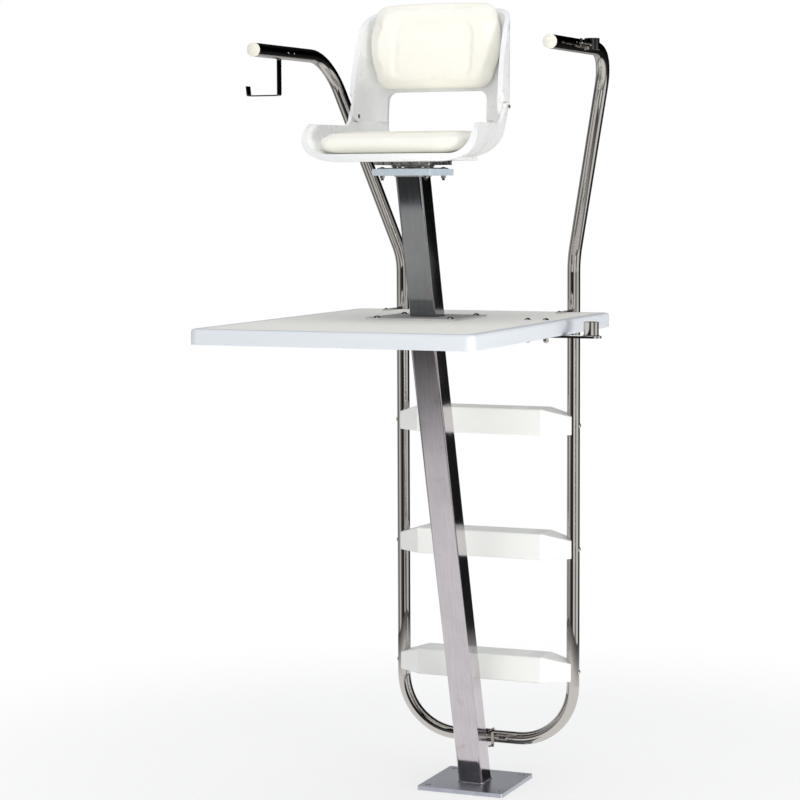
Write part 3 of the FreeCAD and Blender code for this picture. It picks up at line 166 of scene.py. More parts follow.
lamp("key_light", (4.3, -2.7, 0.5), (0, -0.3, 0.6), 1.8, 1.0, 114, "#FFFDF8")
lamp("front_light", (-0.6, -5.4, 1.9), (0, -0.4, 0.8), 2.0, 1.4, 24, "#FFFCF4")
lamp("top_light", (0.2, -1.4, 4.8), (0, -0.4, 1.4), 2.4, 2.4, 34, "#FFFFFF")


# Reflection drum: dark and pale upright cards round the chair, as a studio has for polished tube.
# Only glossy rays see it, so it lights nothing and shows in no view. Each card is given by its
# angle in degrees from the camera's direction, and its level from 0 (black) to 1 (white). A card on
# the floor, bright near the chair and dark further off, is what the posts' fronts reflect.

drum_radius = 2.5
drum_top = 3.1
drum_sides = 96
points = []
faces = []
for step in range(drum_sides):
    angle = 2 * math.pi * step / drum_sides
    across = drum_radius * math.cos(angle)
    along = drum_radius * math.sin(angle)
    points += [(across, along, 0.0), (across, along, drum_top)]
    after = (step + 1) % drum_sides
    faces.append((2 * step, 2 * step + 1, 2 * after + 1, 2 * after))
faces.append(tuple(2 * step + 1 for step in range(drum_sides)))
drum = mesh_object("reflection_drum", points, faces)
cards, tree = new_material("studio_cards")
where = add(tree, "ShaderNodeTexCoord")
aimed = add(tree, "ShaderNodeMapping", {"Vector": where.outputs["Object"],
                                        "Rotation": (0, 0, -camera_yaw + math.pi / 2)})
split = add(tree, "ShaderNodeSeparateXYZ", {0: aimed.outputs[0]})
angle = add(tree, "ShaderNodeMath", {0: split.outputs["Y"], 1: split.outputs["X"]}, operation="ARCTAN2")
share = add(tree, "ShaderNodeMapRange",
            {"Value": angle.outputs[0], "From Min": -math.pi, "From Max": math.pi})
ramp = add(tree, "ShaderNodeValToRGB", {"Fac": share.outputs["Result"]})
stops = ((-180, 0.62), (-160, 0.45), (-137, 0.75), (-124, 0.25), (-112, 0.06), (-98, 0.30), (-86, 0.80),
         (-70, 0.75), (-60, 0.25), (-46, 0.10), (-28, 0.02), (-4, 0.03), (3, 0.55), (8, 0.85), (26, 0.95),
         (33, 0.15), (44, 0.10), (53, 0.70), (84, 1.0), (93, 0.05), (126, 0.012), (152, 0.02), (163, 0.4),
         (180, 0.62))
while len(ramp.color_ramp.elements) < len(stops):
    ramp.color_ramp.elements.new(0.5)
for stop, (degrees, level) in zip(ramp.color_ramp.elements, stops):
    stop.position = (degrees + 180) / 360
    stop.color = (level, level, level, 1)
rise = add(tree, "ShaderNodeMath", {0: split.outputs["Z"], 1: drum_top}, operation="DIVIDE")
by_height = add(tree, "ShaderNodeValToRGB", {"Fac": rise.outputs[0]})
card_heights = ((0.0, 1.0), (1.25, 1.0), (1.75, 0.55), (2.05, 0.4), (2.35, 0.015))
while len(by_height.color_ramp.elements) < len(card_heights):
    by_height.color_ramp.elements.new(0.5)
for stop, (top, level) in zip(by_height.color_ramp.elements, card_heights):
    stop.position = top / drum_top
    stop.color = (level, level, level, 1)
glow = add(tree, "ShaderNodeEmission",
           {"Color": ramp.outputs["Color"], "Strength": by_height.outputs["Color"]})
add(tree, "ShaderNodeOutputMaterial", {"Surface": glow.outputs[0]})
drum.data.materials.append(cards)

card_rings = (0.0, 1.3, 1.75, 2.1, drum_radius)
card_levels = (0.95, 0.92, 0.75, 0.33, 0.06)
points = [(drum_radius * math.cos(2 * math.pi * step / drum_sides),
           drum_radius * math.sin(2 * math.pi * step / drum_sides), 0.002) for step in range(drum_sides)]
floor_card = mesh_object("floor_card", points, [tuple(range(drum_sides))])
card_face, tree = new_material("floor_card_face")
where = add(tree, "ShaderNodeTexCoord")
distance = add(tree, "ShaderNodeVectorMath", {0: where.outputs["Object"]}, operation="LENGTH")
share = add(tree, "ShaderNodeMath", {0: distance.outputs["Value"], 1: drum_radius}, operation="DIVIDE")
ramp = add(tree, "ShaderNodeValToRGB", {"Fac": share.outputs[0]})
while len(ramp.color_ramp.elements) < len(card_rings):
    ramp.color_ramp.elements.new(0.5)
for stop, ring, level in zip(ramp.color_ramp.elements, card_rings, card_levels):
    stop.position = ring / drum_radius
    stop.color = (level, level, level, 1)
glow = add(tree, "ShaderNodeEmission", {"Color": ramp.outputs["Color"], "Strength": 1.0})
add(tree, "ShaderNodeOutputMaterial", {"Surface": glow.outputs[0]})
floor_card.data.materials.append(card_face)
for card in (drum, floor_card):
    card.visible_camera = False
    card.visible_diffuse = False
    card.visible_transmission = False
    card.visible_volume_scatter = False
    card.visible_shadow = False


# Base plate: a 12 mm stainless plate, 267 mm square, with four anchor bolt holes.
# It is ground with a disc, so its sheen is soft and has fine arcs and cloudy patches.

def paint(name, material):
    """Give a CAD piece its finish."""
    for slot in nodes[name].material_slots:
        slot.material = material


# Stainless plate, disc ground. The grit's scratches are 0.3 mm apart and are drawn 2 mm apart
# so that they show; the eye gets a broad blue-grey sheen with cloudy patches.
ground_plate, tree = new_material("disc_ground_stainless")
where = add(tree, "ShaderNodeTexCoord")
arcs = add(tree, "ShaderNodeTexNoise", {"Vector": where.outputs["Object"], "Scale": 14.0, "Detail": 2.0,
                                        "Distortion": 3.0})
scratches = add(tree, "ShaderNodeTexWave",
                {"Vector": where.outputs["Object"], "Scale": 1 / (2 * math.pi) / 0.0025 * 3,
                 "Distortion": 9.0, "Detail": 3.0, "Detail Scale": 0.4}, wave_type="BANDS",
                bands_direction="DIAGONAL")
cloud = add(tree, "ShaderNodeMix",
            {"Factor": arcs.outputs["Fac"], "A": linear("#9EA1AC"), "B": linear("#C9CCD6")}, data_type="RGBA")
rough = add(tree, "ShaderNodeMapRange", {"Value": arcs.outputs["Fac"], "From Min": 0.3, "From Max": 0.7,
                                         "To Min": 0.30, "To Max": 0.42})
relief = add(tree, "ShaderNodeBump",
             {"Height": scratches.outputs["Fac"], "Strength": 0.06, "Distance": 0.0004})
shader = add(tree, "ShaderNodeBsdfPrincipled",
             {"Base Color": cloud.outputs["Result"], "Metallic": 1.0, "Roughness": rough.outputs["Result"],
              "Normal": relief.outputs[0]})
add(tree, "ShaderNodeOutputMaterial", {"Surface": shader.outputs[0]})
paint("base_plate", ground_plate)


# Lower post: 76 mm square stainless tube that leans 15 degrees towards the water.
# It is linished along its length, and welded all round to the base plate and the head plate.

post_lean = math.radians(15.4)


def linished_tube(name, dark, pale, roughness, foot, lean):
    """Stainless box section, belt ground lengthwise: long streaks, and faint tea stains in patches."""
    made, tree = new_material(name)
    where = add(tree, "ShaderNodeTexCoord")
    # The belt's lines are 0.4 mm apart and run on for 80 mm; they are drawn 3 mm apart.
    lay = add(tree, "ShaderNodeMapping", {"Vector": where.outputs["Object"], "Location": foot,
                                          "Rotation": (lean, 0, 0), "Scale": (0.003, 0.003, 0.08)},
              vector_type="TEXTURE")
    lines = add(tree, "ShaderNodeTexNoise", {"Vector": lay.outputs[0], "Scale": 1.0, "Detail": 2.0})
    cloud = add(tree, "ShaderNodeTexNoise", {"Vector": where.outputs["Object"], "Scale": 12.0, "Detail": 3.0})
    blend = add(tree, "ShaderNodeMath", {0: lines.outputs["Fac"], 1: cloud.outputs["Fac"]}, operation="ADD")
    share = add(tree, "ShaderNodeMapRange", {"Value": blend.outputs[0], "From Min": 0.75, "From Max": 1.25})
    tone = add(tree, "ShaderNodeMix",
               {"Factor": share.outputs["Result"], "A": linear(dark), "B": linear(pale)}, data_type="RGBA")
    stains = add(tree, "ShaderNodeTexNoise", {"Vector": where.outputs["Object"], "Scale": 16.0, "Detail": 6.0,
                                              "Roughness": 0.65})
    stained = add(tree, "ShaderNodeMapRange",
                  {"Value": stains.outputs["Fac"], "From Min": 0.57, "From Max": 0.70, "To Max": 0.28},
                  interpolation_type="SMOOTHSTEP")
    finish = add(tree, "ShaderNodeMix", {"Factor": stained.outputs["Result"], "A": tone.outputs["Result"],
                                         "B": linear("#9C8B80")}, data_type="RGBA")
    rough = add(tree, "ShaderNodeMapRange", {"Value": share.outputs["Result"], "To Min": roughness * 0.85,
                                             "To Max": roughness * 1.2})
    relief = add(tree, "ShaderNodeBump",
                 {"Height": lines.outputs["Fac"], "Strength": 0.05, "Distance": 0.0003})
    shader = add(tree, "ShaderNodeBsdfPrincipled", {"Base Color": finish.outputs["Result"], "Metallic": 1.0,
                                                    "Roughness": rough.outputs["Result"],
                                                    "Normal": relief.outputs[0]})
    add(tree, "ShaderNodeOutputMaterial", {"Surface": shader.outputs[0]})
    return made


post_steel = linished_tube("belt_ground_stainless_post", "#C2BCC1", "#CDC7CB", 0.105, (0, 0, 0.012),
                           post_lean)
paint("lower_post", post_steel)


# Weld beads: the run of overlapping ripples that a hand-held torch leaves in each inside corner.
# One node tree lays the ripples along a closed path, which is the tube's own outline at the joint.

def closed_path(name, points):
    """A ring of points as a piece of edges only."""
    edges = [(step, (step + 1) % len(points)) for step in range(len(points))]
    return mesh_object(name, points, [], edges)


def cut_outline(name, point, normal):
    """Where a plane cuts a CAD piece: its longest closed run of points, in order."""
    cut = bmesh.new()
    cut.from_mesh(nodes[name].data)
    bmesh.ops.remove_doubles(cut, verts=cut.verts, dist=1e-6)
    found = bmesh.ops.bisect_plane(cut, geom=cut.verts[:] + cut.edges[:] + cut.faces[:], plane_co=point,
                                   plane_no=normal)["geom_cut"]
    beside = {}
    for edge in found:
        if isinstance(edge, bmesh.types.BMEdge):
            first, second = edge.verts
            beside.setdefault(first, []).append(second)
            beside.setdefault(second, []).append(first)
    left = dict.fromkeys(beside)
    runs = []
    while left:
        here = next(iter(left))
        run = []
        while here is not None:
            left.pop(here)
            run.append(here.co.copy())
            here = next((other for other in beside[here] if other in left), None)
        runs.append(run)
    cut.free()
    return max(runs, key=lambda run: sum((run[i] - run[i - 1]).length for i in range(len(run))))


along_path = bpy.data.node_groups.new("beads_along_a_path", "GeometryNodeTree")
for label, kind in (("Path", "Geometry"), ("Pitch", "Float"), ("Half Length", "Float"),
                    ("Half Width", "Float"), ("Half Height", "Float"), ("Unevenness", "Float"),
                    ("Seed", "Int"), ("Material", "Material")):
    along_path.interface.new_socket(label, in_out="INPUT", socket_type="NodeSocket" + kind)
along_path.interface.new_socket("Beads", in_out="OUTPUT", socket_type="NodeSocketGeometry")
given = add(along_path, "NodeGroupInput").outputs
curve = add(along_path, "GeometryNodeMeshToCurve", {"Mesh": given["Path"]})
spaced = add(along_path, "GeometryNodeResampleCurve", {"Curve": curve.outputs[0], "Length": given["Pitch"]},
             mode="LENGTH")
tangent = add(along_path, "GeometryNodeInputTangent")
facing = add(along_path, "FunctionNodeAlignRotationToVector", {"Vector": tangent.outputs[0]}, axis="X")
low = add(along_path, "ShaderNodeMath", {0: 1.0, 1: given["Unevenness"]}, operation="SUBTRACT")
high = add(along_path, "ShaderNodeMath", {0: 1.0, 1: given["Unevenness"]}, operation="ADD")
chance = add(along_path, "FunctionNodeRandomValue",
             {2: low.outputs[0], 3: high.outputs[0], "Seed": given["Seed"]})
size = add(along_path, "ShaderNodeCombineXYZ", {"X": given["Half Length"], "Y": given["Half Width"],
                                                "Z": given["Half Height"]})
varied = add(along_path, "ShaderNodeVectorMath", {0: size.outputs[0], "Scale": chance.outputs[1]},
             operation="SCALE")
drop = add(along_path, "GeometryNodeMeshUVSphere", {"Segments": 8, "Rings": 5, "Radius": 1.0})
laid = add(along_path, "GeometryNodeInstanceOnPoints",
           {"Points": spaced.outputs[0], "Instance": drop.outputs[0], "Rotation": facing.outputs[0],
            "Scale": varied.outputs[0]})
real = add(along_path, "GeometryNodeRealizeInstances", {0: laid.outputs[0]})
soft = add(along_path, "GeometryNodeSetShadeSmooth", {0: real.outputs[0]})
done = add(along_path, "GeometryNodeSetMaterial",
           {"Geometry": soft.outputs[0], "Material": given["Material"]})
add(along_path, "NodeGroupOutput", {"Beads": done.outputs[0]})


def grow(source, tree, values, body):
    """Run a node tree on a piece, keep what it makes as a plain mesh, and let it ride on a body."""
    maker = source.modifiers.new("maker", "NODES")
    maker.node_group = tree
    for item in tree.interface.items_tree:
        if item.name in values:
            maker[item.identifier] = values[item.name]
    bpy.context.view_layer.update()
    grown = bpy.data.meshes.new_from_object(source.evaluated_get(bpy.context.evaluated_depsgraph_get()))
    source.modifiers.remove(maker)
    source.data = grown
    if not grown.materials:
        grown.materials.append(values["Material"])
    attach(source, body)


# Stainless weld metal, brushed clean: grey with a faint heat tint over small bright ripples.
weld_metal, tree = new_material("brushed_weld_metal")
where = add(tree, "ShaderNodeTexCoord")
heat = add(tree, "ShaderNodeTexNoise", {"Vector": where.outputs["Object"], "Scale": 60.0, "Detail": 2.0})
tint = add(tree, "ShaderNodeMix",
           {"Factor": heat.outputs["Fac"], "A": linear("#A3A09D"), "B": linear("#C6C8CE")}, data_type="RGBA")
shader = add(tree, "ShaderNodeBsdfPrincipled", {"Base Color": tint.outputs["Result"], "Metallic": 1.0,
                                                "Roughness": 0.32})
add(tree, "ShaderNodeOutputMaterial", {"Surface": shader.outputs[0]})


def weld(name, points, half_width, seed):
    """A bead in an inside corner; its ripples lie a third of its width apart."""
    grow(closed_path(name, points), along_path,
         {"Pitch": half_width * 0.62, "Half Length": half_width * 0.8, "Half Width": half_width,
          "Half Height": half_width, "Unevenness": 0.12, "Seed": seed, "Material": weld_metal},
         "stand")


level = Vector((0, 0, 1))
post_foot_cut = Vector((0, 0, 0.0125))
post_head_cut = Vector((0, 0, 1.3600))
weld("post_foot_weld", cut_outline("lower_post", post_foot_cut, level), half_width=0.0034, seed=1)
weld("post_head_weld", cut_outline("lower_post", post_head_cut, level), half_width=0.0028, seed=2)


# Post head plate and column foot plate: a 6.4 mm and a 5 mm plate that grip the platform between
# them, with four domed bolts through both. The plate on top is bead blasted.

# Bead-blasted stainless sheet: an even, pale, matt sheen with a faint mottle, and hardly any image.
blasted_sheet, tree = new_material("bead_blasted_stainless")
where = add(tree, "ShaderNodeTexCoord")
mottle = add(tree, "ShaderNodeTexNoise", {"Vector": where.outputs["Object"], "Scale": 40.0, "Detail": 4.0})
tone = add(tree, "ShaderNodeMix",
           {"Factor": mottle.outputs["Fac"], "A": linear("#DCDCDC"), "B": linear("#F0EEEA")},
           data_type="RGBA")
rough = add(tree, "ShaderNodeMapRange", {"Value": mottle.outputs["Fac"], "From Min": 0.3, "From Max": 0.7,
                                         "To Min": 0.50, "To Max": 0.60})
shader = add(tree, "ShaderNodeBsdfPrincipled", {"Base Color": tone.outputs["Result"], "Metallic": 0.6,
                                                "Roughness": rough.outputs["Result"]})
add(tree, "ShaderNodeOutputMaterial", {"Surface": shader.outputs[0]})
paint("column_foot_plate", blasted_sheet)
paint("post_head_plate", ground_plate)


# Upper column: 76 mm square stainless tube that leans 15 degrees forward, from the platform to the
# seat's mounting plate. Its tones are the post's steel painted darker, as painted shade and painted
# reflection for its dark front.

column_lean = math.radians(14.6)
# The column's two tones are painted darker than the post's: painted shade and painted reflection.
column_steel_painted_darker = linished_tube("belt_ground_stainless_column", "#8C8E90", "#96989B", 0.1, (0, -0.372, 1.413),
                             column_lean)
paint("upper_column", column_steel_painted_darker)
column_foot_cut = Vector((0, 0, 1.4135))
column_head_cut = Vector((0, 0, 1.8025))
weld("column_foot_weld", cut_outline("upper_column", column_foot_cut, level), half_width=0.0024, seed=3)
weld("column_head_weld", cut_outline("upper_column", column_head_cut, level), half_width=0.0030, seed=4)


# Bolts, nuts and washers: turned and pressed stainless, tumbled to a soft polish.
# Domed heads show on the plates and the platform; nuts and tips show below.

# Tumbled stainless: bright, with a fine haze and a slight change of tone from spot to spot.
bright_steel, tree = new_material("tumbled_stainless")
where = add(tree, "ShaderNodeTexCoord")
marks = add(tree, "ShaderNodeTexNoise", {"Vector": where.outputs["Object"], "Scale": 300.0, "Detail": 2.0})
tone = add(tree, "ShaderNodeMix",
           {"Factor": marks.outputs["Fac"], "A": linear("#C4C2BE"), "B": linear("#E0DEDA")}, data_type="RGBA")
rough = add(tree, "ShaderNodeMapRange", {"Value": marks.outputs["Fac"], "From Min": 0.3, "From Max": 0.7,
                                         "To Min": 0.14, "To Max": 0.24})
shader = add(tree, "ShaderNodeBsdfPrincipled", {"Base Color": tone.outputs["Result"], "Metallic": 1.0,
                                                "Roughness": rough.outputs["Result"]})
add(tree, "ShaderNodeOutputMaterial", {"Surface": shader.outputs[0]})
for name in ("foot_bolts", "foot_nuts", "foot_washers", "swivel_nuts", "tread_bolts", "rail_tab_screws",
             "rail_rivets", "hinge_pins", "seat_screws", "swivel_pivot", "swivel_balls", "ladder_u_bolts",
             "ladder_u_bolt_nuts", "umbrella_bracket_bolts", "umbrella_bracket_nuts"):
    paint(name, bright_steel)

# The swivel's four bolts end in threaded tips that are brown with old grease.
tip_top = 1.7958
thread_pitch = 0.00125
greased_bolt, tree = new_material("stainless_bolt_with_greased_tip")
where = add(tree, "ShaderNodeTexCoord")
split = add(tree, "ShaderNodeSeparateXYZ", {0: where.outputs["Object"]})
on_tip = add(tree, "ShaderNodeMapRange", {"Value": split.outputs["Z"], "From Min": tip_top - 0.0006,
                                          "From Max": tip_top, "To Min": 1.0, "To Max": 0.0})
smear = add(tree, "ShaderNodeTexNoise", {"Vector": where.outputs["Object"], "Scale": 500.0, "Detail": 2.0})
grease = add(tree, "ShaderNodeMix", {"Factor": smear.outputs["Fac"], "A": linear("#2E1D18"),
                                     "B": linear("#5C3A30")}, data_type="RGBA")
tone = add(tree, "ShaderNodeMix", {"Factor": on_tip.outputs["Result"], "A": linear("#D2D0CC"),
                                   "B": grease.outputs["Result"]}, data_type="RGBA")
metal = add(tree, "ShaderNodeMath", {0: 1.0, 1: on_tip.outputs["Result"]}, operation="SUBTRACT")
rough = add(tree, "ShaderNodeMapRange", {"Value": on_tip.outputs["Result"], "To Min": 0.2, "To Max": 0.5})
turns = add(tree, "ShaderNodeMath", {0: split.outputs["Z"], 1: 2 * math.pi / thread_pitch},
            operation="MULTIPLY")
thread = add(tree, "ShaderNodeMath", {0: turns.outputs[0]}, operation="SINE")
cut = add(tree, "ShaderNodeMath", {0: thread.outputs[0], 1: on_tip.outputs["Result"]}, operation="MULTIPLY")
relief = add(tree, "ShaderNodeBump", {"Height": cut.outputs[0], "Strength": 0.8, "Distance": 0.0004})
shader = add(tree, "ShaderNodeBsdfPrincipled",
             {"Base Color": tone.outputs["Result"], "Metallic": metal.outputs[0],
              "Roughness": rough.outputs["Result"], "Normal": relief.outputs[0]})
add(tree, "ShaderNodeOutputMaterial", {"Surface": shader.outputs[0]})
paint("swivel_bolts", greased_bolt)


# Platform: a tray of white glass-fibre laminate over a board core, closed by a bottom sheet.
# Its top has a gritty non-slip field inside a smooth margin; the edges are satin gelcoat.

deck_half_x = 0.3965
deck_front = -1.045
deck_rear = 0.066
deck_top = 1.408
smooth_margin = 0.022
grit_spacing = 0.004
deck_skin, tree = new_material("gelcoat_with_grit_field")
where = add(tree, "ShaderNodeTexCoord")
split = add(tree, "ShaderNodeSeparateXYZ", {0: where.outputs["Object"]})
side = add(tree, "ShaderNodeMath", {0: split.outputs["X"]}, operation="ABSOLUTE")
side_room = add(tree, "ShaderNodeMath", {0: deck_half_x - smooth_margin, 1: side.outputs[0]},
                operation="SUBTRACT")
front_room = add(tree, "ShaderNodeMath", {0: split.outputs["Y"], 1: deck_front + smooth_margin},
                 operation="SUBTRACT")
rear_room = add(tree, "ShaderNodeMath", {0: deck_rear - smooth_margin, 1: split.outputs["Y"]},
                operation="SUBTRACT")
near = add(tree, "ShaderNodeMath", {0: side_room.outputs[0], 1: front_room.outputs[0]}, operation="MINIMUM")
near = add(tree, "ShaderNodeMath", {0: near.outputs[0], 1: rear_room.outputs[0]}, operation="MINIMUM")
inside = add(tree, "ShaderNodeMapRange", {"Value": near.outputs[0], "From Min": 0.0, "From Max": 0.0015})
high = add(tree, "ShaderNodeMath", {0: split.outputs["Z"], 1: deck_top - 0.0005}, operation="GREATER_THAN")
field = add(tree, "ShaderNodeMath", {0: inside.outputs["Result"], 1: high.outputs[0]}, operation="MULTIPLY")
grit = add(tree, "ShaderNodeTexVoronoi", {"Vector": where.outputs["Object"], "Scale": 1 / grit_spacing})
grain = add(tree, "ShaderNodeMapRange", {"Value": grit.outputs["Distance"], "From Min": 0.15, "From Max": 0.6,
                                         "To Min": 1.0, "To Max": 0.0})
traffic = add(tree, "ShaderNodeTexNoise", {"Vector": where.outputs["Object"], "Scale": 5.0, "Detail": 5.0})
worn = add(tree, "ShaderNodeMix", {"Factor": traffic.outputs["Fac"], "A": linear("#EDECE7"),
                                   "B": linear("#F9F8F4")}, data_type="RGBA")
pits = add(tree, "ShaderNodeMix", {"Factor": grain.outputs["Result"], "A": linear("#EAE8E1"),
                                   "B": worn.outputs["Result"]}, data_type="RGBA")
tone = add(tree, "ShaderNodeMix",
           {"Factor": field.outputs[0], "A": linear("#DBE0E5"), "B": pits.outputs["Result"]},
           data_type="RGBA")
rough = add(tree, "ShaderNodeMapRange", {"Value": field.outputs[0], "To Min": 0.35, "To Max": 0.8})
step = add(tree, "ShaderNodeMath", {0: grain.outputs["Result"], 1: field.outputs[0]}, operation="MULTIPLY")
relief = add(tree, "ShaderNodeBump", {"Height": step.outputs[0], "Strength": 0.5, "Distance": 0.0005})
shader = add(tree, "ShaderNodeBsdfPrincipled", {"Base Color": tone.outputs["Result"],
                                                "Roughness": rough.outputs["Result"], "IOR": 1.5,
                                                "Normal": relief.outputs[0]})
add(tree, "ShaderNodeOutputMaterial", {"Surface": shader.outputs[0]})
paint("platform_deck", deck_skin)

# The bottom sheet shows the laminate's own side: dull, with glass strands that read as wavy patches
# about 14 mm across.
laminate, tree = new_material("raw_glass_laminate")
where = add(tree, "ShaderNodeTexCoord")
strands = add(tree, "ShaderNodeTexNoise", {"Vector": where.outputs["Object"], "Scale": 70.0, "Detail": 4.0,
                                           "Distortion": 2.5})
tone = add(tree, "ShaderNodeMix", {"Factor": strands.outputs["Fac"], "A": linear("#D5D6D0"),
                                   "B": linear("#ECEDE9")}, data_type="RGBA")
relief = add(tree, "ShaderNodeBump", {"Height": strands.outputs["Fac"], "Strength": 0.4, "Distance": 0.0008})
shader = add(tree, "ShaderNodeBsdfPrincipled", {"Base Color": tone.outputs["Result"], "Roughness": 0.6,
                                                "IOR": 1.5, "Normal": relief.outputs[0]})
add(tree, "ShaderNodeOutputMaterial", {"Surface": shader.outputs[0]})
paint("platform_underside", laminate)

# Plywood: the platform's core and the cushions' boards. Rings 12 mm apart, wavy along the grain.
plywood, tree = new_material("birch_plywood")
where = add(tree, "ShaderNodeTexCoord")
rings = add(tree, "ShaderNodeTexWave", {"Vector": where.outputs["Object"], "Scale": 25.0, "Distortion": 6.0,
                                        "Detail": 3.0, "Detail Scale": 1.5}, bands_direction="Y")
tone = add(tree, "ShaderNodeMix",
           {"Factor": rings.outputs["Fac"], "A": linear("#B9935F"), "B": linear("#D8BB8B")}, data_type="RGBA")
shader = add(tree, "ShaderNodeBsdfPrincipled", {"Base Color": tone.outputs["Result"], "Roughness": 0.65})
add(tree, "ShaderNodeOutputMaterial", {"Surface": shader.outputs[0]})
for name in ("platform_core", "seat_cushion_board", "back_cushion_board"):
    paint(name, plywood)


# Swivel: a pale coated mounting plate on the column, and over it two pressed plates that turn on a
# ring of balls about a kingpin. The plates are zinc-bright; the balls run in a nylon cage.

# Epoxy-coated steel plate: pale grey, satin, with a slight dimple like orange peel 1.5 mm across.
coated_plate, tree = new_material("pale_epoxy_coated_steel")
where = add(tree, "ShaderNodeTexCoord")
peel = add(tree, "ShaderNodeTexNoise", {"Vector": where.outputs["Object"], "Scale": 650.0, "Detail": 1.0})
cloud = add(tree, "ShaderNodeTexNoise", {"Vector": where.outputs["Object"], "Scale": 30.0, "Detail": 3.0})
tone = add(tree, "ShaderNodeMix",
           {"Factor": cloud.outputs["Fac"], "A": linear("#B4BFC9"), "B": linear("#C3CDD6")}, data_type="RGBA")
relief = add(tree, "ShaderNodeBump", {"Height": peel.outputs["Fac"], "Strength": 0.12, "Distance": 0.0002})
shader = add(tree, "ShaderNodeBsdfPrincipled", {"Base Color": tone.outputs["Result"], "Roughness": 0.42,
                                                "IOR": 1.5, "Normal": relief.outputs[0]})
add(tree, "ShaderNodeOutputMaterial", {"Surface": shader.outputs[0]})
paint("seat_mount_plate", coated_plate)

# Zinc-plated pressing: bright and bluish, with smudges of old grease.
zinc_plate, tree = new_material("zinc_plated_pressing")
where = add(tree, "ShaderNodeTexCoord")
smudge = add(tree, "ShaderNodeTexNoise", {"Vector": where.outputs["Object"], "Scale": 45.0, "Detail": 5.0})
dirt = add(tree, "ShaderNodeMapRange", {"Value": smudge.outputs["Fac"], "From Min": 0.5, "From Max": 0.64})
tone = add(tree, "ShaderNodeMix",
           {"Factor": dirt.outputs["Result"], "A": linear("#C7CCCB"), "B": linear("#77746C")},
           data_type="RGBA")
rough = add(tree, "ShaderNodeMapRange", {"Value": dirt.outputs["Result"], "To Min": 0.25, "To Max": 0.5})
shader = add(tree, "ShaderNodeBsdfPrincipled", {"Base Color": tone.outputs["Result"], "Metallic": 1.0,
                                                "Roughness": rough.outputs["Result"]})
add(tree, "ShaderNodeOutputMaterial", {"Surface": shader.outputs[0]})
paint("swivel_upper_plate", zinc_plate)
paint("swivel_lower_plate", zinc_plate)

# The upper plate's edges are turned down into a rim with a row of round lightening holes.
rim_half = 0.084
rim_corner = 0.010
rim_wall = 0.002
rim_low = 1.8318
rim_high = 1.8412
swivel_y = -0.470
hole_r = 0.0032
hole_pitch = 0.026
hole_z = 1.8362


def rim_ring(inset, height):
    """One level of the rim's rounded square."""
    ring = []
    for quarter, (sx, sy) in enumerate(((1, 1), (-1, 1), (-1, -1), (1, -1))):
        for step in range(7):
            angle = math.pi / 2 * (quarter + step / 6)
            ring.append((sx * (rim_half - rim_corner) + (rim_corner - inset) * math.cos(angle),
                         swivel_y + sy * (rim_half - rim_corner) + (rim_corner - inset) * math.sin(angle),
                         height))
    return ring


loops = [rim_ring(0, rim_low), rim_ring(0, rim_high), rim_ring(rim_wall, rim_high),
         rim_ring(rim_wall, rim_low)]
wide = len(loops[0])
faces = [(row * wide + i, row * wide + (i + 1) % wide, (row + 1) % 4 * wide + (i + 1) % wide,
          (row + 1) % 4 * wide + i) for row in range(4) for i in range(wide)]
rim = mesh_object("swivel_upper_rim", [p for loop in loops for p in loop], faces)
drills = bmesh.new()
for place in range(-2, 3):
    for turned, shift in ((Matrix.Rotation(math.pi / 2, 4, "Y"),
                           Vector((0, swivel_y + place * hole_pitch, hole_z))),
                          (Matrix.Rotation(math.pi / 2, 4, "X"),
                           Vector((place * hole_pitch, swivel_y, hole_z)))):
        bmesh.ops.create_cone(drills, cap_ends=True, segments=16, radius1=hole_r, radius2=hole_r, depth=0.3,
                              matrix=Matrix.Translation(shift) @ turned)
drill_mesh = bpy.data.meshes.new("rim_drills")
drills.to_mesh(drill_mesh)
drills.free()
drill_set = bpy.data.objects.new("rim_drills", drill_mesh)
scene.collection.objects.link(drill_set)
drilling = rim.modifiers.new("drilling", "BOOLEAN")
drilling.operation = "DIFFERENCE"
drilling.solver = "EXACT"
drilling.use_self = True
drilling.object = drill_set
bpy.context.view_layer.update()
rim.data = bpy.data.meshes.new_from_object(rim.evaluated_get(bpy.context.evaluated_depsgraph_get()))
rim.modifiers.clear()
bpy.data.objects.remove(drill_set)
rim.data.materials.clear()
rim.data.materials.append(zinc_plate)
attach(rim, "seat")

# Nylon: milky and satin, as it comes from the mould.
nylon, tree = new_material("natural_nylon")
where = add(tree, "ShaderNodeTexCoord")
cloud = add(tree, "ShaderNodeTexNoise", {"Vector": where.outputs["Object"], "Scale": 80.0})
tone = add(tree, "ShaderNodeMix",
           {"Factor": cloud.outputs["Fac"], "A": linear("#D9D4C2"), "B": linear("#EAE6D8")}, data_type="RGBA")
shader = add(tree, "ShaderNodeBsdfPrincipled",
             {"Base Color": tone.outputs["Result"], "Roughness": 0.4, "IOR": 1.53})
add(tree, "ShaderNodeOutputMaterial", {"Surface": shader.outputs[0]})
paint("swivel_ball_cage", nylon)


# Seat pan and back shell: two mouldings of white glass-fibre laminate with a gelcoat face.
# The back's two arms are hinged between the pan's ears, so it folds down over the seat.

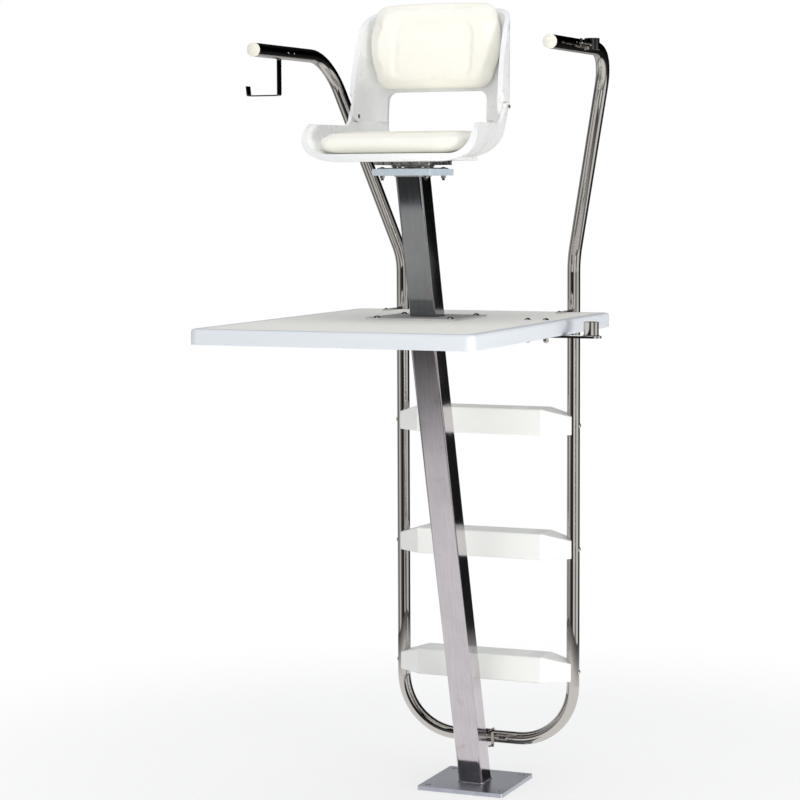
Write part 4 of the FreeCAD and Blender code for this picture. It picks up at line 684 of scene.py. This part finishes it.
# Gelcoat: a hard white gloss over a shallow ripple and a fine peel, with a little chalking.
gelcoat, tree = new_material("white_gelcoat")
where = add(tree, "ShaderNodeTexCoord")
ripple = add(tree, "ShaderNodeTexNoise", {"Vector": where.outputs["Object"], "Scale": 35.0, "Detail": 1.0})
peel = add(tree, "ShaderNodeTexNoise", {"Vector": where.outputs["Object"], "Scale": 420.0, "Detail": 1.0})
chalk = add(tree, "ShaderNodeTexNoise", {"Vector": where.outputs["Object"], "Scale": 11.0, "Detail": 5.0})
tone = add(tree, "ShaderNodeMix",
           {"Factor": chalk.outputs["Fac"], "A": linear("#EAEBEB"), "B": linear("#F1F2F0")}, data_type="RGBA")
rough = add(tree, "ShaderNodeMapRange", {"Value": chalk.outputs["Fac"], "From Min": 0.3, "From Max": 0.7,
                                         "To Min": 0.2, "To Max": 0.34})
small = add(tree, "ShaderNodeBump", {"Height": peel.outputs["Fac"], "Strength": 0.08, "Distance": 0.0002})
relief = add(tree, "ShaderNodeBump", {"Height": ripple.outputs["Fac"], "Strength": 0.1, "Distance": 0.001,
                                      "Normal": small.outputs[0]})
shader = add(tree, "ShaderNodeBsdfPrincipled", {"Base Color": tone.outputs["Result"],
                                                "Roughness": rough.outputs["Result"], "IOR": 1.5,
                                                "Normal": relief.outputs[0]})
add(tree, "ShaderNodeOutputMaterial", {"Surface": shader.outputs[0]})
for name in ("seat_pan", "back_shell"):
    paint(name, gelcoat)

# Stop screws: domed heads in the back's arms, browned by chlorine water.
browned, tree = new_material("browned_screw_head")
where = add(tree, "ShaderNodeTexCoord")
bloom = add(tree, "ShaderNodeTexNoise", {"Vector": where.outputs["Object"], "Scale": 350.0, "Detail": 3.0})
tone = add(tree, "ShaderNodeMix",
           {"Factor": bloom.outputs["Fac"], "A": linear("#3A2420"), "B": linear("#7A5648")}, data_type="RGBA")
shader = add(tree, "ShaderNodeBsdfPrincipled", {"Base Color": tone.outputs["Result"], "Metallic": 0.6,
                                                "Roughness": 0.45})
add(tree, "ShaderNodeOutputMaterial", {"Surface": shader.outputs[0]})
paint("back_stop_screws", browned)


# Seat cushion: foam on a board, in a sewn ivory coated cover with a stitched seam round its top.
# The pressure simulation swells the foam; the sides and the underside stay against the pan.

# PVC-coated fabric: ivory, satin, with a fine leather grain. The grain is 0.8 mm and is drawn at
# 2 mm. The seam's furrow is painted a little browner, as painted shade in the crease.
cover, tree = new_material("ivory_coated_fabric")
where = add(tree, "ShaderNodeTexCoord")
grain = add(tree, "ShaderNodeTexVoronoi", {"Vector": where.outputs["Object"], "Scale": 500.0},
            feature="SMOOTH_F1")
cloud = add(tree, "ShaderNodeTexNoise", {"Vector": where.outputs["Object"], "Scale": 14.0, "Detail": 4.0})
tone = add(tree, "ShaderNodeMix",
           {"Factor": cloud.outputs["Fac"], "A": linear("#F3F0E5"), "B": linear("#F9F7ED")}, data_type="RGBA")
# The furrow's mark mixes in a browner tone: painted shade in the seam's crease.
furrow = add(tree, "ShaderNodeAttribute", attribute_name="furrow")
furrow_shaded_tone = add(tree, "ShaderNodeMix", {"Factor": furrow.outputs["Fac"], "A": tone.outputs["Result"],
                                    "B": linear("#C9B9A3")}, data_type="RGBA")
rough = add(tree, "ShaderNodeMapRange", {"Value": cloud.outputs["Fac"], "From Min": 0.3, "From Max": 0.7,
                                         "To Min": 0.38, "To Max": 0.5})
relief = add(tree, "ShaderNodeBump",
             {"Height": grain.outputs["Distance"], "Strength": 0.15, "Distance": 0.0003})
shader = add(tree, "ShaderNodeBsdfPrincipled", {"Base Color": furrow_shaded_tone.outputs["Result"],
                                                "Roughness": rough.outputs["Result"], "IOR": 1.5,
                                                "Normal": relief.outputs[0]})
add(tree, "ShaderNodeOutputMaterial", {"Surface": shader.outputs[0]})

# Bonded polyester thread, 1 mm thick, a shade darker than the cover.
thread_skin, tree = new_material("ivory_polyester_thread")
where = add(tree, "ShaderNodeTexCoord")
twist = add(tree, "ShaderNodeTexNoise", {"Vector": where.outputs["Object"], "Scale": 1500.0})
tone = add(tree, "ShaderNodeMix",
           {"Factor": twist.outputs["Fac"], "A": linear("#DDD5C2"), "B": linear("#F0EADA")}, data_type="RGBA")
shader = add(tree, "ShaderNodeBsdfPrincipled", {"Base Color": tone.outputs["Result"], "Roughness": 0.6})
add(tree, "ShaderNodeOutputMaterial", {"Surface": shader.outputs[0]})

voxel = 0.005
sim_frames = 20
start_smaller = 0.0025
most_slide = 0.001


def plump(name, outward, face_swell, side_swell):
    """The CAD cushion as a sewn pad: remeshed, swollen by pressure, and capped by which way it faces."""
    data = nodes[name].data.copy()
    data.materials.clear()
    data.materials.append(cover)
    pad = bpy.data.objects.new(name + "_cover", data)
    scene.collection.objects.link(pad)
    skin = bmesh.new()
    skin.from_mesh(data)
    bmesh.ops.remove_doubles(skin, verts=skin.verts, dist=1e-5)
    skin.to_mesh(data)
    skin.free()
    even = pad.modifiers.new("even", "REMESH")
    even.mode = "VOXEL"
    even.voxel_size = voxel
    bpy.context.view_layer.update()
    pad.data = bpy.data.meshes.new_from_object(pad.evaluated_get(bpy.context.evaluated_depsgraph_get()))
    pad.modifiers.clear()
    rest = [v.co.copy() for v in pad.data.vertices]
    facing = [v.normal.copy() for v in pad.data.vertices]
    for vertex, normal in zip(pad.data.vertices, facing):
        vertex.co -= normal * start_smaller
    cloth = pad.modifiers.new("cloth", "CLOTH")
    cloth.settings.use_pressure = True
    cloth.settings.uniform_pressure_force = 4.0
    cloth.settings.effector_weights.gravity = 0.0
    cloth.point_cache.frame_start = 1
    cloth.point_cache.frame_end = sim_frames
    for frame_number in range(1, sim_frames + 1):
        scene.frame_set(frame_number)
    swollen = pad.evaluated_get(bpy.context.evaluated_depsgraph_get()).to_mesh()
    moved = [v.co.copy() for v in swollen.vertices]
    pad.modifiers.clear()
    scene.frame_set(1)
    for vertex, place, normal, target in zip(pad.data.vertices, rest, facing, moved):
        share = max(0.0, normal.dot(outward))
        most = side_swell + (face_swell - side_swell) * share
        if normal.dot(outward) < -0.5:
            most = 0.0
        shift = target - place
        out = shift.dot(normal)
        shift -= normal * out
        if shift.length > most_slide:
            shift *= most_slide / shift.length
        vertex.co = place + shift + normal * max(-most_slide, min(most, out))
    for face in pad.data.polygons:
        face.use_smooth = True
    return pad, facing


def sink(pad, facing, outward, distance, depth, half_width, furrow_shade_amount, seed):
    """Draw a sewn furrow in, with small puckers beside it, and mark it for painted shade."""
    mark = pad.data.attributes.new("furrow", "FLOAT", "POINT")
    for index, vertex in enumerate(pad.data.vertices):
        way = facing[index]
        turned = max(0.0, min(1.0, (way.dot(outward) - 0.15) / 0.35))
        away = distance(vertex.co)
        line = math.exp(-(away / half_width) ** 2) * turned
        beside = math.exp(-(away / (4.5 * half_width)) ** 2) * turned
        pucker = noise.noise(vertex.co * 70.0 + Vector((seed, 0, 0))) * 0.0007 * beside
        soft = noise.noise(vertex.co * 9.0 + Vector((0, seed, 0))) * 0.0008 * turned
        vertex.co += way * (pucker + soft - depth * line)
        # The mark paints shade into the furrow, by the amount given.
        mark.data[index].value = line * furrow_shade_amount


def stitch(name, pad, plan, outward, body, seed):
    """A row of stitches: thread laid over the cover along a closed line, seen from the way it faces."""
    skin = BVHTree.FromPolygons([v.co for v in pad.data.vertices],
                                [tuple(f.vertices) for f in pad.data.polygons])
    path = []
    for spot in plan:
        hit = skin.ray_cast(spot + outward * 0.2, -outward)
        if hit[0] is not None:
            path.append(hit[0] + hit[1] * 0.0002)
    grow(closed_path(name, path), along_path,
         {"Pitch": 0.0045, "Half Length": 0.0017, "Half Width": 0.0005, "Half Height": 0.0005,
          "Unevenness": 0.06, "Seed": seed, "Material": thread_skin}, body)


def rounded_box(across, along, half_across, half_along, corner):
    """Distance from a rounded rectangle's outline, negative inside it."""
    a = abs(across) - (half_across - corner)
    b = abs(along) - (half_along - corner)
    return math.hypot(max(a, 0.0), max(b, 0.0)) + min(max(a, b), 0.0) - corner


def rounded_ring(half_across, half_along, corner, count):
    """Points round a rounded rectangle, evenly by angle within each corner and joined by its sides."""
    ring = []
    for turn_index, (sx, sy) in enumerate(((1, 1), (-1, 1), (-1, -1), (1, -1))):
        for step in range(count):
            angle = math.pi / 2 * (turn_index + step / (count - 1))
            ring.append((sx * (half_across - corner) + corner * math.cos(angle),
                         sy * (half_along - corner) + corner * math.sin(angle)))
    dense = []
    for index, (x, y) in enumerate(ring):
        x2, y2 = ring[(index + 1) % len(ring)]
        parts = max(1, round(math.hypot(x2 - x, y2 - y) / 0.004))
        dense += [(x + (x2 - x) * i / parts, y + (y2 - y) * i / parts) for i in range(parts)]
    return dense


seat_middle_y = -0.479
seat_seam_half_x = 0.182
seat_seam_half_y = 0.139
seat_seam_corner = 0.045
seat_pad, facing = plump("seat_cushion", level, face_swell=0.0035, side_swell=0.0006)
# The seam's furrow gets a clear painted shade.
sink(seat_pad, facing, level,
     lambda p: rounded_box(p.x, p.y - seat_middle_y, seat_seam_half_x, seat_seam_half_y, seat_seam_corner),
     depth=0.0022, half_width=0.0032, furrow_shade_amount=0.3, seed=3.0)
stitch_inset = 0.005
stitch_z = 1.92
stitch("seat_cushion_stitches", seat_pad,
       [Vector((x, y + seat_middle_y, stitch_z)) for x, y in
        rounded_ring(seat_seam_half_x - stitch_inset, seat_seam_half_y - stitch_inset,
                     seat_seam_corner - stitch_inset, count=12)],
       level, "seat", seed=11)
finer = seat_pad.modifiers.new("finer", "SUBSURF")
finer.levels = 1
finer.render_levels = 1
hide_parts("seat_cushion")
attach(seat_pad, "seat")


# Back cushion: the same foam and cover, fixed to the back shell by its board.
# Its middle panel is pressed in, with a soft furrow round it and no stitches.

back_lean = math.radians(5.0)
hinge = Vector((0, -0.352, 1.990))
back_up = Vector((0, math.sin(back_lean), math.cos(back_lean)))
back_front = Vector((0, -math.cos(back_lean), math.sin(back_lean)))
panel_height = 0.162
panel_half_x = 0.112
panel_half_z = 0.074
panel_corner = 0.030
back_pad, facing = plump("back_cushion", back_front, face_swell=0.0035, side_swell=0.0006)
# The panel's furrow gets only a faint painted shade.
sink(back_pad, facing, back_front,
     lambda p: rounded_box(p.x, (p - hinge).dot(back_up) - panel_height, panel_half_x, panel_half_z,
                           panel_corner), depth=0.0018, half_width=0.0085, furrow_shade_amount=0.04, seed=8.0)
finer = back_pad.modifiers.new("finer", "SUBSURF")
finer.levels = 1
finer.render_levels = 1
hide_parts("back_cushion")
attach(back_pad, "backrest")


# Handrails: two bent 38 mm stainless tubes that start as the ladder's bottom loop, rise as its
# sides and run forward beside the seat. They are buffed almost to a mirror.

# Buffed stainless tube: a near-mirror that draws its surroundings into stripes, with a faint haze.
mirror_tube, tree = new_material("buffed_stainless_tube")
where = add(tree, "ShaderNodeTexCoord")
haze = add(tree, "ShaderNodeTexNoise", {"Vector": where.outputs["Object"], "Scale": 7.0, "Detail": 2.0})
tone = add(tree, "ShaderNodeMix",
           {"Factor": haze.outputs["Fac"], "A": linear("#C4BFBA"), "B": linear("#CCC8C4")}, data_type="RGBA")
rough = add(tree, "ShaderNodeMapRange", {"Value": haze.outputs["Fac"], "From Min": 0.3, "From Max": 0.7,
                                         "To Min": 0.03, "To Max": 0.045})
shader = add(tree, "ShaderNodeBsdfPrincipled", {"Base Color": tone.outputs["Result"], "Metallic": 1.0,
                                                "Roughness": rough.outputs["Result"]})
add(tree, "ShaderNodeOutputMaterial", {"Surface": shader.outputs[0]})
for name in ("left_rail", "right_rail", "rail_splice", "left_rail_tab", "right_rail_tab", "rescue_hook"):
    paint(name, mirror_tube)
rearward = Vector((0, 1, 0))
tab_end_cut = Vector((0, 0.0825, 0))
hook_top_cut = Vector((0, 0, 2.1306))
weld("left_tab_weld", cut_outline("left_rail_tab", tab_end_cut, rearward), half_width=0.0016, seed=5)
weld("right_tab_weld", cut_outline("right_rail_tab", tab_end_cut, rearward), half_width=0.0016, seed=6)
weld("hook_weld", cut_outline("rescue_hook", hook_top_cut, level), half_width=0.0014, seed=7)

# End caps: push-in plugs moulded in cream polyethylene, with a low dome and a satin face.
cap_plastic, tree = new_material("cream_polyethylene")
where = add(tree, "ShaderNodeTexCoord")
cloud = add(tree, "ShaderNodeTexNoise", {"Vector": where.outputs["Object"], "Scale": 90.0, "Detail": 3.0})
tone = add(tree, "ShaderNodeMix",
           {"Factor": cloud.outputs["Fac"], "A": linear("#E4E0D2"), "B": linear("#F2EFE4")}, data_type="RGBA")
relief = add(tree, "ShaderNodeBump", {"Height": cloud.outputs["Fac"], "Strength": 0.1, "Distance": 0.0003})
shader = add(tree, "ShaderNodeBsdfPrincipled", {"Base Color": tone.outputs["Result"], "Roughness": 0.42,
                                                "IOR": 1.51, "Normal": relief.outputs[0]})
add(tree, "ShaderNodeOutputMaterial", {"Surface": shader.outputs[0]})
paint("left_end_cap", cap_plastic)
paint("right_end_cap", cap_plastic)


# Ladder foot: a welded block on the post carries a saddle, and two U-bolts hold the loop in it.

paint("ladder_standoff", mirror_tube)
loop_z = 0.124
base_plate_top = 0.012
post_foot_rear_y = 0.0362
clear_of_post = 0.0006
post_rear_y = post_foot_rear_y - (loop_z - base_plate_top) * math.tan(post_lean)
post_behind = Vector((0, math.cos(post_lean), math.sin(post_lean)))
standoff_cut = Vector((0, post_rear_y, loop_z)) + post_behind * clear_of_post
weld("standoff_weld", cut_outline("ladder_standoff", standoff_cut, post_behind), half_width=0.0022, seed=8)


# Treads: three white mouldings bolted between the rails into brass inserts.
# Their tops have low ribs for wet feet; their ends taper to the tubes.

# Moulded ABS: white, satin, with a faint clouding. Its spark-eroded grain of 0.5 mm is drawn at 1 mm.
tread_plastic, tree = new_material("satin_white_abs")
where = add(tree, "ShaderNodeTexCoord")
fine = add(tree, "ShaderNodeTexNoise", {"Vector": where.outputs["Object"], "Scale": 900.0, "Detail": 1.0})
cloud = add(tree, "ShaderNodeTexNoise", {"Vector": where.outputs["Object"], "Scale": 8.0, "Detail": 4.0})
tone = add(tree, "ShaderNodeMix",
           {"Factor": cloud.outputs["Fac"], "A": linear("#F2F3EF"), "B": linear("#F9F9F5")}, data_type="RGBA")
relief = add(tree, "ShaderNodeBump", {"Height": fine.outputs["Fac"], "Strength": 0.08, "Distance": 0.0002})
shader = add(tree, "ShaderNodeBsdfPrincipled", {"Base Color": tone.outputs["Result"], "Roughness": 0.42,
                                                "IOR": 1.53, "Normal": relief.outputs[0]})
add(tree, "ShaderNodeOutputMaterial", {"Surface": shader.outputs[0]})

in_a_row = bpy.data.node_groups.new("copies_in_a_row", "GeometryNodeTree")
for label, kind in (("Piece", "Geometry"), ("Count", "Int"), ("Pitch", "Float"), ("Material", "Material")):
    in_a_row.interface.new_socket(label, in_out="INPUT", socket_type="NodeSocket" + kind)
in_a_row.interface.new_socket("Row", in_out="OUTPUT", socket_type="NodeSocketGeometry")
given = add(in_a_row, "NodeGroupInput").outputs
stride = add(in_a_row, "ShaderNodeCombineXYZ", {"Y": given["Pitch"]})
spots = add(in_a_row, "GeometryNodeMeshLine", {"Count": given["Count"], "Offset": stride.outputs[0]})
laid = add(in_a_row, "GeometryNodeInstanceOnPoints", {"Points": spots.outputs[0], "Instance": given["Piece"]})
real = add(in_a_row, "GeometryNodeRealizeInstances", {0: laid.outputs[0]})
done = add(in_a_row, "GeometryNodeSetMaterial", {"Geometry": real.outputs[0], "Material": given["Material"]})
add(in_a_row, "NodeGroupOutput", {"Row": done.outputs[0]})

rib_half = 0.150
rib_width = 0.0032
rib_height = 0.0011
rib_pitch = 0.0095
rib_count = 8
rib_first_y = 0.0435
for name, tread_top in (("tread_lower", 0.3898), ("tread_middle", 0.7568), ("tread_upper", 1.1235)):
    paint(name, tread_plastic)
    profile = [(-rib_width / 2, 0.0), (-rib_width * 0.36, rib_height * 0.75), (-rib_width * 0.16, rib_height),
               (rib_width * 0.16, rib_height), (rib_width * 0.36, rib_height * 0.75), (rib_width / 2, 0.0)]
    ends = ((-rib_half, 0.0), (-rib_half + 0.002, 1.0), (rib_half - 0.002, 1.0), (rib_half, 0.0))
    points = [(x, rib_first_y + y, tread_top - 0.0003 + z * rise) for x, rise in ends for y, z in profile]
    wide = len(profile)
    faces = [(row * wide + i, row * wide + (i + 1) % wide, (row + 1) * wide + (i + 1) % wide,
              (row + 1) * wide + i) for row in range(len(ends) - 1) for i in range(wide)]
    ribs = mesh_object(name + "_ribs", points, [tuple(reversed(face)) for face in faces])
    grow(ribs, in_a_row, {"Count": rib_count, "Pitch": rib_pitch, "Material": tread_plastic},
         "stand")

# Turned brass: yellow, with lathe rings 0.8 mm apart.
brass, tree = new_material("turned_brass")
where = add(tree, "ShaderNodeTexCoord")
lathe = add(tree, "ShaderNodeTexWave", {"Vector": where.outputs["Object"], "Scale": 400.0},
            bands_direction="X")
tone = add(tree, "ShaderNodeMix",
           {"Factor": lathe.outputs["Fac"], "A": linear("#C9A14C"), "B": linear("#E0BE72")}, data_type="RGBA")
shader = add(tree, "ShaderNodeBsdfPrincipled", {"Base Color": tone.outputs["Result"], "Metallic": 1.0,
                                                "Roughness": 0.28})
add(tree, "ShaderNodeOutputMaterial", {"Surface": shader.outputs[0]})
paint("tread_inserts", brass)


# Umbrella holder: a ring with a T-handled clamping screw, welded to the right handrail, and a cup on
# a flat bar under the platform, straight below it. All but the screw is buffed stainless.

for name in ("umbrella_ring", "umbrella_cup", "umbrella_bracket"):
    paint(name, mirror_tube)
outward = Vector((1, 0, 0))
ring_weld_cut = Vector((0.4493, 0, 0))
cup_foot_cut = Vector((0, 0, 1.3676))
weld("ring_weld", cut_outline("umbrella_ring", ring_weld_cut, outward), half_width=0.0016, seed=9)
weld("cup_weld", cut_outline("umbrella_cup", cup_foot_cut, level), half_width=0.0020, seed=10)

# Threaded rod: the same steel, with a thread of 1.25 mm pitch drawn along its axis by bump, and by a
# tone that is painted darker in its grooves as painted shade.
threaded_rod, tree = new_material("threaded_stainless_rod")
where = add(tree, "ShaderNodeTexCoord")
split = add(tree, "ShaderNodeSeparateXYZ", {0: where.outputs["Object"]})
turns = add(tree, "ShaderNodeMath", {0: split.outputs["Y"], 1: 2 * math.pi / thread_pitch},
            operation="MULTIPLY")
thread = add(tree, "ShaderNodeMath", {0: turns.outputs[0]}, operation="SINE")
relief = add(tree, "ShaderNodeBump", {"Height": thread.outputs[0], "Strength": 0.5, "Distance": 0.0003})
# Painted shade: the tone darkens in the thread's grooves.
shade = add(tree, "ShaderNodeMapRange", {"Value": thread.outputs[0], "From Min": -1.0})
tone = add(tree, "ShaderNodeMix", {"Factor": shade.outputs["Result"], "A": linear("#8E8A86"),
                                   "B": linear("#D4D2CE")}, data_type="RGBA")
shader = add(tree, "ShaderNodeBsdfPrincipled", {"Base Color": tone.outputs["Result"], "Metallic": 1.0,
                                                "Roughness": 0.22, "Normal": relief.outputs[0]})
add(tree, "ShaderNodeOutputMaterial", {"Surface": shader.outputs[0]})
paint("umbrella_thumbscrew", threaded_rod)
